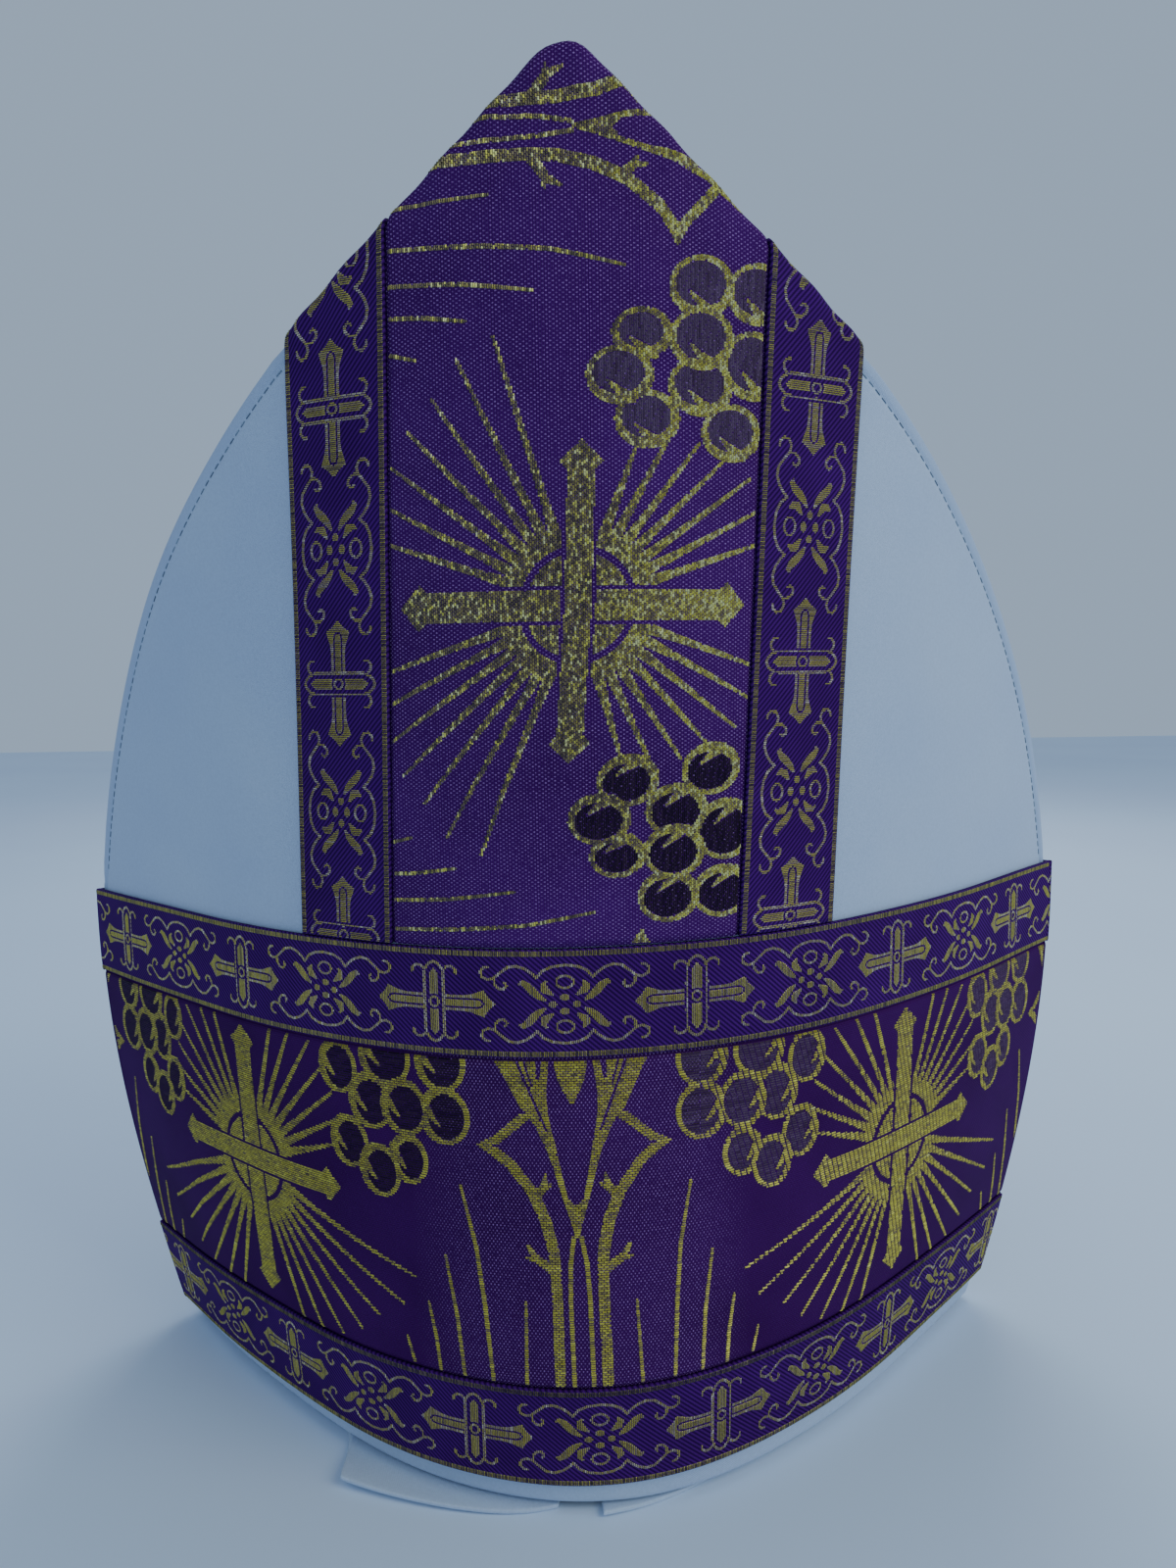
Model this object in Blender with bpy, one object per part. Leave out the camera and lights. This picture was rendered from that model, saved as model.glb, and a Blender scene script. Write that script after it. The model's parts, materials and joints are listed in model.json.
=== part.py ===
"""A bishop's mitre in cloth, standing on its rim, in metres with +Z up and its front towards -Y.

A front and a back shield of stiffened white cloth are bent round the head and meet at two side seams.
Above the seams they part into two horns, and a soft gusset hangs in a valley between them. Brocade and
woven ribbon cover the shields: a band round the head, and an upright panel on each horn.

Every layer is laid out flat first. s is the distance along the cloth from the middle line of its shield,
z is the height, and out is how far the layer lies outside the white shell. lay() bends such a point onto
the mitre.
"""

import functools
import math

import bmesh
import bpy
import numpy as np
from mathutils import Vector

# The shell: its section is one arch of a cosine, front and back
HEM_HALF_WIDTH = 0.1190
HEM_HALF_DEPTH = 0.0812
SEAM_HALF_WIDTH = 0.1398
SEAM_HALF_DEPTH = 0.0838
SWELL_HEIGHT = 0.125  # the sides widen up to this height
HEM_HEIGHT = 0.0020
SEAM_TOP = 0.136  # the two shields are joined up to this height
HORN_WALL = 0.0025
SEAM_GAP = 0.0004  # between the edges of the two shields

# The outline of a horn, laid out flat
SHOULDER_ARC = 0.0660  # the upright panel's outer corner
SHOULDER_HEIGHT = 0.2645
CHEEK_ARC = 0.1460  # the curved edge below the shoulder is drawn towards this point
CHEEK_HEIGHT = 0.2140
POINT_HEIGHT = 0.3155  # where the two slopes would meet
SLOPE_BOW = 0.0027  # the slopes are slightly hollow
TIP_RADIUS = 0.0070
HORN_LEAN = 0.0120  # how far each point leans outwards

# The layers on the shell
SEAT_GAP = 0.0004
BAND_TILT = 0.0115  # the band round the head is sewn on aslant: it climbs this much per metre to the right
BROCADE_THICKNESS = 0.0010
RIBBON_THICKNESS = 0.0014
RIBBON_WIDTH = 0.0243
EDGE_GAP = 0.0003  # between the brocade and the ribbon beside it
LOWER_RIBBON_FOOT = 0.0077
UPPER_RIBBON_FOOT = 0.1110
PANEL_HALF_WIDTH = 0.0402  # the brocade of the upright panel, up to its ribbons
PANEL_DRIFT_FOOT = -0.0030  # the front panel is sewn on slightly askew: its foot lies to the left
PANEL_DRIFT_TOP = 0.0018  # and at the shoulders it lies to the right

# The gusset between the horns
GUSSET_THICKNESS = 0.0012
GUSSET_TUCK = 0.0030  # its edges are sewn on this far below the edges of the horns
GUSSET_HALF_ARC = 0.1605
VALLEY_MIDDLE = 0.165
VALLEY_SIDE = 0.150
VALLEY_POWER = 1.4  # 1 is a sharp fold, 2 is a round trough

# The band inside the rim, which the mitre stands on. Its two ends meet at the front and are turned out
BAND_THICKNESS = 0.0012
BAND_GAP = 0.0004
BAND_SIDE_STEPS = 8
# Each row: distance from the middle line, how far the hem is turned (0 to 1), how far it then reaches out
TURNED_LEFT = (
    {"arc": 0.0065, "turn": 1.0, "reach": -0.0007},
    {"arc": 0.0130, "turn": 1.0, "reach": 0.0018},
    {"arc": 0.0215, "turn": 1.0, "reach": 0.0042},
    {"arc": 0.0330, "turn": 1.0, "reach": 0.0068},
    {"arc": 0.0437, "turn": 1.0, "reach": 0.0090},
    {"arc": 0.0565, "turn": 1.0, "reach": 0.0116},
    {"arc": 0.0600, "turn": 0.0, "reach": 0.0},
)
TURNED_RIGHT = (
    {"arc": 0.0043, "turn": 1.0, "reach": 0.0021},
    {"arc": 0.0090, "turn": 1.0, "reach": 0.0013},
    {"arc": 0.0150, "turn": 1.0, "reach": 0.0004},
    {"arc": 0.0240, "turn": 1.0, "reach": -0.0011},
    {"arc": 0.0330, "turn": 0.6, "reach": -0.0018},
    {"arc": 0.0440, "turn": 0.0, "reach": 0.0},
    {"arc": 0.0550, "turn": 0.0, "reach": 0.0},
)
# Each row of the band's fold, from its top edge to its hem: the height of its inner and outer face where
# it hangs straight, and where it is turned out the push outwards and the height of each
BAND_ROWS = (
    {"inner": 0.022, "outer": 0.022, "in_push": 0.0, "in_z": 0.022, "out_push": 0.0, "out_z": 0.022},
    {"inner": 0.012, "outer": 0.012, "in_push": 0.0, "in_z": 0.012, "out_push": 0.0, "out_z": 0.012},
    {"inner": 0.0034, "outer": 0.004, "in_push": 0.0, "in_z": 0.0024, "out_push": 0.0, "out_z": 0.0034},
    {"inner": 0.0018, "outer": 0.002, "in_push": 0.0003, "in_z": 0.0006, "out_push": 0.0004, "out_z": 0.0015},
    {"inner": 0.0009, "outer": 0.001, "in_push": 0.0011, "in_z": 0.0, "out_push": 0.0013, "out_z": 0.0012},
    {"inner": 0.0, "outer": 0.0, "in_push": None, "in_z": 0.0, "out_push": None, "out_z": 0.0012},
)

# How finely the solids are cut
RING_COLUMNS = 36
HORN_ROWS = 14
BROCADE_ROWS = 6
RIBBON_ROWS = 2
PANEL_COLUMNS = 10
PANEL_RIBBON_COLUMNS = 3
PANEL_ROWS = 6
GUSSET_COLUMNS = 24
GUSSET_ROWS = 10
SECTION_POINTS = 240
DRIFT_STEPS = 4  # rounds in which a drifting strip finds its top

FRONT = -1.0
BACK = 1.0

WHITE_CLOTH = {"colour": (0.62, 0.70, 0.78), "roughness": 0.85, "metallic": 0.0}
LINING = {"colour": (0.66, 0.72, 0.78), "roughness": 0.9, "metallic": 0.0}
BROCADE = {"colour": (0.09, 0.015, 0.24), "roughness": 0.55, "metallic": 0.0}
RIBBON = {"colour": (0.10, 0.06, 0.18), "roughness": 0.5, "metallic": 0.1}


@functools.lru_cache(maxsize=None)
def section(z, out):
    """The right half of the front section: arc length on the shell, and x and y of the layer out from it."""
    swell = math.sin(math.pi / 2 * min(z / SWELL_HEIGHT, 1.0))
    half_width = HEM_HALF_WIDTH + (SEAM_HALF_WIDTH - HEM_HALF_WIDTH) * swell
    half_depth = HEM_HALF_DEPTH + (SEAM_HALF_DEPTH - HEM_HALF_DEPTH) * swell
    turn = np.linspace(0.0, 1.08 * math.pi / 2, SECTION_POINTS)
    x = half_width * turn / (math.pi / 2)
    slope = half_depth / half_width * math.pi / 2 * np.sin(turn)
    length = np.hypot(1.0, slope)
    arc = np.concatenate(([0.0], np.cumsum((length[1:] + length[:-1]) / 2 * np.diff(x))))
    return arc, x + out * slope / length, -half_depth * np.cos(turn) - out / length


def seam_arc(z, out, gap=SEAM_GAP):
    """The s at which a layer reaches the side seam."""
    arc, _, y = section(z, out)
    return float(np.interp(-gap / 2, y, arc))


def lay(s, z, out, side):
    """The point of the mitre where the flat layout's s and z come to lie."""
    arc, x, y = section(z, out)
    lean = HORN_LEAN * max(z - SEAM_TOP, 0.0) / (POINT_HEIGHT - SEAM_TOP)
    depth = float(np.interp(abs(s), arc, y)) - lean
    return Vector((math.copysign(float(np.interp(abs(s), arc, x)), s), -side * depth, z))


SEAM_ARC = seam_arc(SEAM_TOP, 0.0)


def slope_height(s):
    """The height of the straight slope of a horn at s, with its rounded tip."""
    share = s / SHOULDER_ARC
    drop = (POINT_HEIGHT - SHOULDER_HEIGHT) * share + 4 * SLOPE_BOW * share * (1 - share)
    steepness = math.atan((POINT_HEIGHT - SHOULDER_HEIGHT + 4 * SLOPE_BOW) / SHOULDER_ARC)
    if s >= TIP_RADIUS * math.sin(steepness):
        return POINT_HEIGHT - drop
    return POINT_HEIGHT - TIP_RADIUS / math.cos(steepness) + math.sqrt(TIP_RADIUS**2 - s**2)


def cheek_height(s):
    """The height of the curved edge below the shoulder at s: a curve drawn towards the cheek's point."""
    a = SHOULDER_ARC - 2 * CHEEK_ARC + SEAM_ARC
    b = CHEEK_ARC - SHOULDER_ARC
    c = SHOULDER_ARC - min(s, SEAM_ARC)
    t = -c / (b + math.sqrt(max(b * b - a * c, 0.0)))
    return (1 - t) ** 2 * SHOULDER_HEIGHT + 2 * t * (1 - t) * CHEEK_HEIGHT + t * t * SEAM_TOP


def edge_height(s):
    """The height of a horn's edge at s, on either side of its middle line."""
    return slope_height(abs(s)) if abs(s) < SHOULDER_ARC else cheek_height(abs(s))


def material(name, finish):
    """A new material with the finish's colour, roughness and metallic value."""
    result = bpy.data.materials.new(name)
    result.use_nodes = True
    shader = result.node_tree.nodes["Principled BSDF"]
    shader.inputs["Base Color"].default_value = (*finish["colour"], 1.0)
    shader.inputs["Roughness"].default_value = finish["roughness"]
    shader.inputs["Metallic"].default_value = finish["metallic"]
    return result


def sheet(name, finish, columns, rows, place):
    """A closed sheet of cloth. place(u, v, w) gives its points: u across, v up, w outwards, from 0 to 1."""
    mesh = bmesh.new()
    bmesh.ops.create_grid(mesh, x_segments=columns, y_segments=rows, size=0.5)
    layers = {0.0: mesh.verts[:]}
    grown = bmesh.ops.extrude_face_region(mesh, geom=mesh.faces[:])
    layers[1.0] = [item for item in grown["geom"] if isinstance(item, bmesh.types.BMVert)]
    for w, points in layers.items():
        for point in points:
            point.co = place(point.co.x + 0.5, point.co.y + 0.5, w)
    bmesh.ops.triangulate(mesh, faces=mesh.faces[:])
    bmesh.ops.recalc_face_normals(mesh, faces=mesh.faces[:])
    data = bpy.data.meshes.new(name)
    mesh.to_mesh(data)
    mesh.free()
    data.shade_smooth()
    data.set_sharp_from_angle(angle=math.radians(40))
    data.materials.append(material(name, finish))
    piece = bpy.data.objects.new(name, data)
    bpy.context.scene.collection.objects.link(piece)
    return piece


def between(low, high, share):
    """The value at a share of the way from low to high."""
    return low + (high - low) * share


def horn(name, side):
    """A shield of white cloth, from its hem to its point."""

    def place(u, v, w):
        across = 2 * u - 1
        out = -HORN_WALL * (1 - w)
        z = between(HEM_HEIGHT, edge_height(across * SEAM_ARC), v)
        return lay(across * seam_arc(z, out), z, out, side)

    return sheet(name, WHITE_CLOTH, RING_COLUMNS, HORN_ROWS, place)


def girdle(name, finish, side, foot, top, thickness, rows):
    """Half of a band round the head, from side seam to side seam."""

    def place(u, v, w):
        across = 2 * u - 1
        out = SEAT_GAP + thickness * w
        z = between(foot, top, v)
        z += BAND_TILT * across * seam_arc(z, out)
        return lay(across * seam_arc(z, out), z, out, side)

    return sheet(name, finish, RING_COLUMNS, rows, place)


def panel_drift(z, side):
    """How far the middle of the upright panel lies to the right at z. The back panel stands straight."""
    if side == BACK:
        return 0.0
    return between(PANEL_DRIFT_FOOT, PANEL_DRIFT_TOP, (z - SEAM_TOP) / (SHOULDER_HEIGHT - SEAM_TOP))


def upright(name, finish, side, left, right, thickness, columns):
    """A strip that stands on the band and ends at the horn's edge."""
    foot = UPPER_RIBBON_FOOT + RIBBON_WIDTH + EDGE_GAP

    def place(u, v, w):
        straight = between(left, right, u)
        top = edge_height(straight)
        for _ in range(DRIFT_STEPS):
            top = edge_height(straight + panel_drift(top, side))
        z = between(foot + BAND_TILT * straight, top, v)
        return lay(straight + panel_drift(z, side), z, SEAT_GAP + thickness * w, side)

    return sheet(name, finish, columns, PANEL_ROWS, place)


def gusset(name):
    """The soft sheet that hangs in a valley between the two horns."""

    def place(u, v, w):
        s = (2 * u - 1) * GUSSET_HALF_ARC
        top = edge_height(s) - GUSSET_TUCK
        edge = lay(s, top, -HORN_WALL - SEAT_GAP, BACK)
        valley = between(VALLEY_SIDE, VALLEY_MIDDLE, math.cos(math.pi / 2 * s / GUSSET_HALF_ARC))
        across = 2 * v - 1
        rise = top - valley
        point = Vector((edge.x, edge.y * across, valley + rise * abs(across) ** VALLEY_POWER))
        steep = VALLEY_POWER * rise / edge.y * math.copysign(abs(across) ** (VALLEY_POWER - 1), across)
        return point + Vector((0.0, -steep, 1.0)).normalized() * GUSSET_THICKNESS * w

    return sheet(name, LINING, GUSSET_COLUMNS, GUSSET_ROWS, place)


def inner_band(name):
    """The band inside the rim: one strip from its left end at the front, round the back, to its right."""
    half = len(TURNED_LEFT) - 1 + BAND_SIDE_STEPS
    last = len(BAND_ROWS) - 1

    def hem(ends, step, z, out):
        """The s, turn and reach of a column of the front, counted from the band's end."""
        if step < len(ends):
            return ends[step]["arc"], ends[step]["turn"], ends[step]["reach"]
        share = (step - len(ends) + 1) / BAND_SIDE_STEPS
        return between(ends[-1]["arc"], seam_arc(z, out, 0.0), share), 0.0, 0.0

    def place(u, v, w):
        column = round(u * 4 * half)
        row = BAND_ROWS[last - round(v * last)]
        out = -HORN_WALL - BAND_GAP - BAND_THICKNESS * (1 - w)
        straight, push, height = (row["outer"], row["out_push"], row["out_z"])
        if not w:
            straight, push, height = (row["inner"], row["in_push"], row["in_z"])
        if half <= column <= 3 * half:
            share = (column - half) / (2 * half)
            return lay((2 * share - 1) * seam_arc(straight, out, 0.0), straight, out, BACK)
        left = column < half
        ends = TURNED_LEFT if left else TURNED_RIGHT
        s, turn, reach = hem(ends, column if left else 4 * half - column, straight, out)
        turned_out = reach if push is None else out + push
        z = between(straight, height, turn)
        return lay(-s if left else s, z, between(out, turned_out, turn), FRONT)

    return sheet(name, LINING, 4 * half, last, place)


def build():
    """Every piece of the mitre."""
    for leftover in list(bpy.data.objects):
        bpy.data.objects.remove(leftover)
    lower_top = LOWER_RIBBON_FOOT + RIBBON_WIDTH
    upper_top = UPPER_RIBBON_FOOT + RIBBON_WIDTH
    ribbon_inner = PANEL_HALF_WIDTH
    ribbon_outer = PANEL_HALF_WIDTH + RIBBON_WIDTH
    brocade_edge = PANEL_HALF_WIDTH - EDGE_GAP
    for word, side in (("front", FRONT), ("back", BACK)):
        horn(f"{word}_horn", side)
        girdle(f"{word}_band_brocade", BROCADE, side, lower_top + EDGE_GAP, UPPER_RIBBON_FOOT - EDGE_GAP,
               BROCADE_THICKNESS, BROCADE_ROWS)
        girdle(f"{word}_band_lower_ribbon", RIBBON, side, LOWER_RIBBON_FOOT, lower_top,
               RIBBON_THICKNESS, RIBBON_ROWS)
        girdle(f"{word}_band_upper_ribbon", RIBBON, side, UPPER_RIBBON_FOOT, upper_top,
               RIBBON_THICKNESS, RIBBON_ROWS)
        upright(f"{word}_panel_brocade", BROCADE, side, -brocade_edge, brocade_edge,
                BROCADE_THICKNESS, PANEL_COLUMNS)
        upright(f"{word}_panel_left_ribbon", RIBBON, side, -ribbon_outer, -ribbon_inner,
                RIBBON_THICKNESS, PANEL_RIBBON_COLUMNS)
        upright(f"{word}_panel_right_ribbon", RIBBON, side, ribbon_inner, ribbon_outer,
                RIBBON_THICKNESS, PANEL_RIBBON_COLUMNS)
    gusset("crown_gusset")
    inner_band("inner_band")


build()
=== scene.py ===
"""Looks of a bishop's mitre, in metres with +Z up and its front towards -Y.

Everything soft is laid out flat first. s is the distance along the cloth from the middle line of a shield,
z is the height and out is how far a layer lies outside the white shell. Shell.lay() bends such points onto
the mitre. The woven figures are drawn on charts, and every filled stretch of a chart's row becomes one
raised thread.
"""

import json
import logging
import math
from dataclasses import dataclass, field, replace
from enum import Enum
from functools import cached_property
from typing import Callable, ClassVar, NamedTuple, Sequence

import bmesh
import bpy
import numpy as np
from mathutils import Matrix, Vector
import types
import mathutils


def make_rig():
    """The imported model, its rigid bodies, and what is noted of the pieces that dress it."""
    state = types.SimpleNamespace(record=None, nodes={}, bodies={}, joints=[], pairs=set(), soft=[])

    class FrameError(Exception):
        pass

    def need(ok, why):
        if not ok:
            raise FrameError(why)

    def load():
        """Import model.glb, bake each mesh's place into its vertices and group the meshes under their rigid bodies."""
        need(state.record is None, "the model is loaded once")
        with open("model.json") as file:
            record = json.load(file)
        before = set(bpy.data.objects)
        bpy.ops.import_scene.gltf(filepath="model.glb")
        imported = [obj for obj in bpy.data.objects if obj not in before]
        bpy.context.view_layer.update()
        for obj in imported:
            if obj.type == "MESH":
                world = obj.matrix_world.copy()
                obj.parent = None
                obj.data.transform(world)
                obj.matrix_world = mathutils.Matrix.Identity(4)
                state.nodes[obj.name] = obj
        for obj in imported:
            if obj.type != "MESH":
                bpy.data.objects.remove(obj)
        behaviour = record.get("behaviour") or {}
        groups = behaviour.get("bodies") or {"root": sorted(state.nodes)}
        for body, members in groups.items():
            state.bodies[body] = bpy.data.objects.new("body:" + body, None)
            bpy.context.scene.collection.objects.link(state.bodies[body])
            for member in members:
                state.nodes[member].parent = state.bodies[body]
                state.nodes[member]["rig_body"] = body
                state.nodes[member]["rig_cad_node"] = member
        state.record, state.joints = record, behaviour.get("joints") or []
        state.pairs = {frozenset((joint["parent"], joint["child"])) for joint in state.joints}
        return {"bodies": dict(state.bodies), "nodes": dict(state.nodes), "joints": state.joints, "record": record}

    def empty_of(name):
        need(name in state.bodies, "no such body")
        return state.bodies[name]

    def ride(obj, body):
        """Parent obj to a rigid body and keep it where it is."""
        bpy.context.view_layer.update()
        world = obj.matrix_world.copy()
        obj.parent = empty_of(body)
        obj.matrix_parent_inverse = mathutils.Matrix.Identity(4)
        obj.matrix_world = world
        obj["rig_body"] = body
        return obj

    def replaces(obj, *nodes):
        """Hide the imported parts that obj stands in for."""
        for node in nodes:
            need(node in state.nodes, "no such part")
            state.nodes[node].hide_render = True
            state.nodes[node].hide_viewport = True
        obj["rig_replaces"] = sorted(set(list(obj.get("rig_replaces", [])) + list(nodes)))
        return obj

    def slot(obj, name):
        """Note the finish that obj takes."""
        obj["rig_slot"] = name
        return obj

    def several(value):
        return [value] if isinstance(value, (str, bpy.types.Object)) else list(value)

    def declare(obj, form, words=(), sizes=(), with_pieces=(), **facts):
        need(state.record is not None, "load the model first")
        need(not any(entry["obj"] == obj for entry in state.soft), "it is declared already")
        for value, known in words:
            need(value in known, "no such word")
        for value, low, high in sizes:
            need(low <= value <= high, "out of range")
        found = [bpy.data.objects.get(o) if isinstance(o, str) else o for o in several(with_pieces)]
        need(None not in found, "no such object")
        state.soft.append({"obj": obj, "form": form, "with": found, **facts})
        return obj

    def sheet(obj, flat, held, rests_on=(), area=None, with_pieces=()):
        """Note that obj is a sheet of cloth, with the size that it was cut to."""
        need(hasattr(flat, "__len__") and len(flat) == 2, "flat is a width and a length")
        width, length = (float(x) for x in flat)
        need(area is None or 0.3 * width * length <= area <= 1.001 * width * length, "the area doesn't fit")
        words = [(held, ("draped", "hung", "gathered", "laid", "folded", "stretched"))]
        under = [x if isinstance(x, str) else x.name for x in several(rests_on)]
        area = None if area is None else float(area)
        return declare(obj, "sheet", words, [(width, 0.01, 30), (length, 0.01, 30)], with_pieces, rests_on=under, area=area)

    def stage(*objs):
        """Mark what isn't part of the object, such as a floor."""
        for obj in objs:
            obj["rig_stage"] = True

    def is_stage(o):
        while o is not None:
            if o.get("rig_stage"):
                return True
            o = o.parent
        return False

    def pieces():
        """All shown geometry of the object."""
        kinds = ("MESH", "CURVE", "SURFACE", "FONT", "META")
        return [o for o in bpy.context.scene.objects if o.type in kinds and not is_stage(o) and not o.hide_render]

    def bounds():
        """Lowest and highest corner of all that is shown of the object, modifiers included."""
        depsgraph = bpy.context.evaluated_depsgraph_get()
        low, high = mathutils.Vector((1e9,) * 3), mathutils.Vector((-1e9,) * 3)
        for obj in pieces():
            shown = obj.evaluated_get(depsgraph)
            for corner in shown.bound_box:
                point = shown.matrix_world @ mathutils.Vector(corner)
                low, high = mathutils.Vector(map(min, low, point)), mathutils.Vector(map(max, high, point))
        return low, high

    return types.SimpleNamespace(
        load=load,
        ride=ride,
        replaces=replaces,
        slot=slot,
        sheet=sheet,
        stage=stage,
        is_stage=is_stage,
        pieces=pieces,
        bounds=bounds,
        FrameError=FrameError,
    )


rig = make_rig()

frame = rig.load()
CAD_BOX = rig.bounds()

LOG = logging.getLogger("mitre")
MM = 0.001

Array = np.ndarray
Placed = tuple[Array, Array]
Colour = tuple[float, float, float]
Object = bpy.types.Object
Socket = bpy.types.NodeSocket
Value = Socket | float | Colour


class Side(Enum):
    """Which shield a piece lies on; the value is the sign of its y."""

    FRONT = -1.0
    BACK = 1.0

    @property
    def word(self) -> str:
        """The side's name as it stands in the names of nodes."""
        return self.name.lower()


class Hand(Enum):
    """The left or the right of the middle line, seen from the front."""

    LEFT = -1.0
    RIGHT = 1.0


# --- The shell ---


@dataclass(frozen=True)
class Shell:
    """The two bent shields of the mitre, and where a point of their flat layout comes to lie."""

    hem_half_width: float = 0.1190
    hem_half_depth: float = 0.0812
    seam_half_width: float = 0.1398
    seam_half_depth: float = 0.0838
    swell_height: float = 0.125
    hem_height: float = 0.0020
    seam_top: float = 0.136
    wall: float = 0.0025
    seam_gap: float = 0.0004
    shoulder_arc: float = 0.0660
    shoulder_height: float = 0.2645
    cheek_arc: float = 0.1460
    cheek_height: float = 0.2140
    point_height: float = 0.3155
    slope_bow: float = 0.0027
    tip_radius: float = 0.0070
    lean: float = 0.0120
    seat_gap: float = 0.0004
    swell_rows: int = 61
    arc_columns: int = 361
    longest_arc: float = 0.176
    swells: tuple[float, float] = (0.00034, 0.00016)
    pucker: float = 0.00030
    pucker_length: float = 0.0098
    pucker_reach: float = 0.0062
    pucker_fade: float = 0.002
    section_points: int = 240
    past_seam: float = 1.08

    def section(self, z: float) -> tuple[Array, Array, Array, Array, Array]:
        """The right half of the shell's section at a height.

        Args:
            z: the height.

        Returns:
            The arc length, x and y of its points, and x and y of the outward direction there.
        """
        swell = math.sin(math.pi / 2 * min(z / self.swell_height, 1.0))
        half_width = self.hem_half_width + (self.seam_half_width - self.hem_half_width) * swell
        half_depth = self.hem_half_depth + (self.seam_half_depth - self.hem_half_depth) * swell
        turn = np.linspace(0.0, self.past_seam * math.pi / 2, self.section_points)
        x = half_width * turn / (math.pi / 2)
        slope = half_depth / half_width * math.pi / 2 * np.sin(turn)
        length = np.hypot(1.0, slope)
        arc = np.concatenate(([0.0], np.cumsum((length[1:] + length[:-1]) / 2 * np.diff(x))))
        return arc, x, -half_depth * np.cos(turn), slope / length, -1.0 / length

    @property
    def rim_radius(self) -> float:
        """The radius to which the shell's edges are rounded."""
        return self.wall / 2

    def rim(self, inside: Array, above: Array) -> Array:
        """How far a face falls at a distance inside the horn's edge and above the hem."""
        return np.maximum(rounded(inside, self.rim_radius), rounded(above, self.rim_radius))

    @cached_property
    def heights(self) -> Array:
        """The heights at which the section is kept; above the last it stays the same."""
        return np.linspace(0.0, self.swell_height, self.swell_rows)

    @cached_property
    def table(self) -> Array:
        """The section's point and outward direction for each kept height and evenly spaced arc.

        Returns:
            Rows of four values, by height and arc.
        """
        arcs = np.linspace(0.0, self.longest_arc, self.arc_columns)
        rows = []
        for z in self.heights:
            arc, *values = self.section(float(z))
            rows.append(np.stack([np.interp(arcs, arc, value) for value in values], axis=-1))
        return np.stack(rows)

    def seam_arc(self, z: Array, out: float, gap: float | None = None) -> Array:
        """The s at which a layer reaches the side seam.

        Args:
            z: the heights.
            out: how far the layer lies outside the shell.
            gap: the gap left between front and back there.

        Returns:
            One s for each height.
        """
        gap = self.seam_gap if gap is None else gap
        found = []
        for height in self.heights:
            arc, _, y, _, out_y = self.section(float(height))
            found.append(np.interp(-gap / 2, y + out * out_y, arc))
        return np.interp(z, self.heights, found)

    @cached_property
    def seam_end(self) -> float:
        """The s of the point where the side seam ends and the horns part."""
        return float(self.seam_arc(np.array([self.seam_top]), 0.0)[0])

    def edge_height(self, s: Array) -> Array:
        """The height of a horn's edge at each s: a straight slope, and a curved cheek below the shoulder.

        Args:
            s: the arcs from the middle.

        Returns:
            The heights.
        """
        s = np.abs(np.asarray(s, float))
        share = s / self.shoulder_arc
        fall = self.point_height - self.shoulder_height
        slope = self.point_height - fall * share - 4 * self.slope_bow * share * (1 - share)
        steep = math.atan((fall + 4 * self.slope_bow) / self.shoulder_arc)
        tip = self.point_height - self.tip_radius / math.cos(steep)
        tip = tip + np.sqrt(np.maximum(self.tip_radius**2 - s**2, 0.0))
        slope = np.where(s < self.tip_radius * math.sin(steep), tip, slope)
        a = self.shoulder_arc - 2 * self.cheek_arc + self.seam_end
        b = self.cheek_arc - self.shoulder_arc
        c = self.shoulder_arc - np.minimum(s, self.seam_end)
        t = -c / (b + np.sqrt(np.maximum(b * b - a * c, 0.0)))
        cheek = (1 - t) ** 2 * self.shoulder_height + 2 * t * (1 - t) * self.cheek_height
        return np.where(s < self.shoulder_arc, slope, cheek + t * t * self.seam_top)

    def edge_lean(self, s: Array) -> Array:
        """The share of a height that counts square to the horn's edge at each s.

        Args:
            s: the arcs from the middle.

        Returns:
            The shares, 1 where the edge is level.
        """
        step = 0.0004
        rise = (self.edge_height(np.abs(s) + step) - self.edge_height(np.abs(np.abs(s) - step))) / (2 * step)
        return 1.0 / np.hypot(1.0, rise)

    def inside(self, s: Array, z: Array) -> Array:
        """How far each point lies inside the horn's edge, square to it."""
        return (self.edge_height(s) - z) * self.edge_lean(s)

    def relief(self, s: Array, z: Array) -> Array:
        """The soft unevenness that all layers share: shallow swells, and puckers along the sewn slopes.

        Args:
            s: the arcs from the middle.
            z: the heights.

        Returns:
            How far out it lifts each point.
        """
        broad, narrow = self.swells
        swells = broad * np.sin(41 * s + 1.1) * np.sin(33 * z + 0.4) + narrow * np.sin(93 * s + 27 * z)
        near = np.exp(-((self.inside(s, z) / self.pucker_reach) ** 2))
        wave = np.sin(2 * math.pi * s / self.pucker_length + 1.6 * np.sin(71 * s))
        beyond = (np.abs(s) - self.shoulder_arc - self.pucker_fade) / self.pucker_fade
        on_slope = 1.0 / (1.0 + np.exp(beyond))
        return swells + self.pucker * wave * near * on_slope

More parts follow.
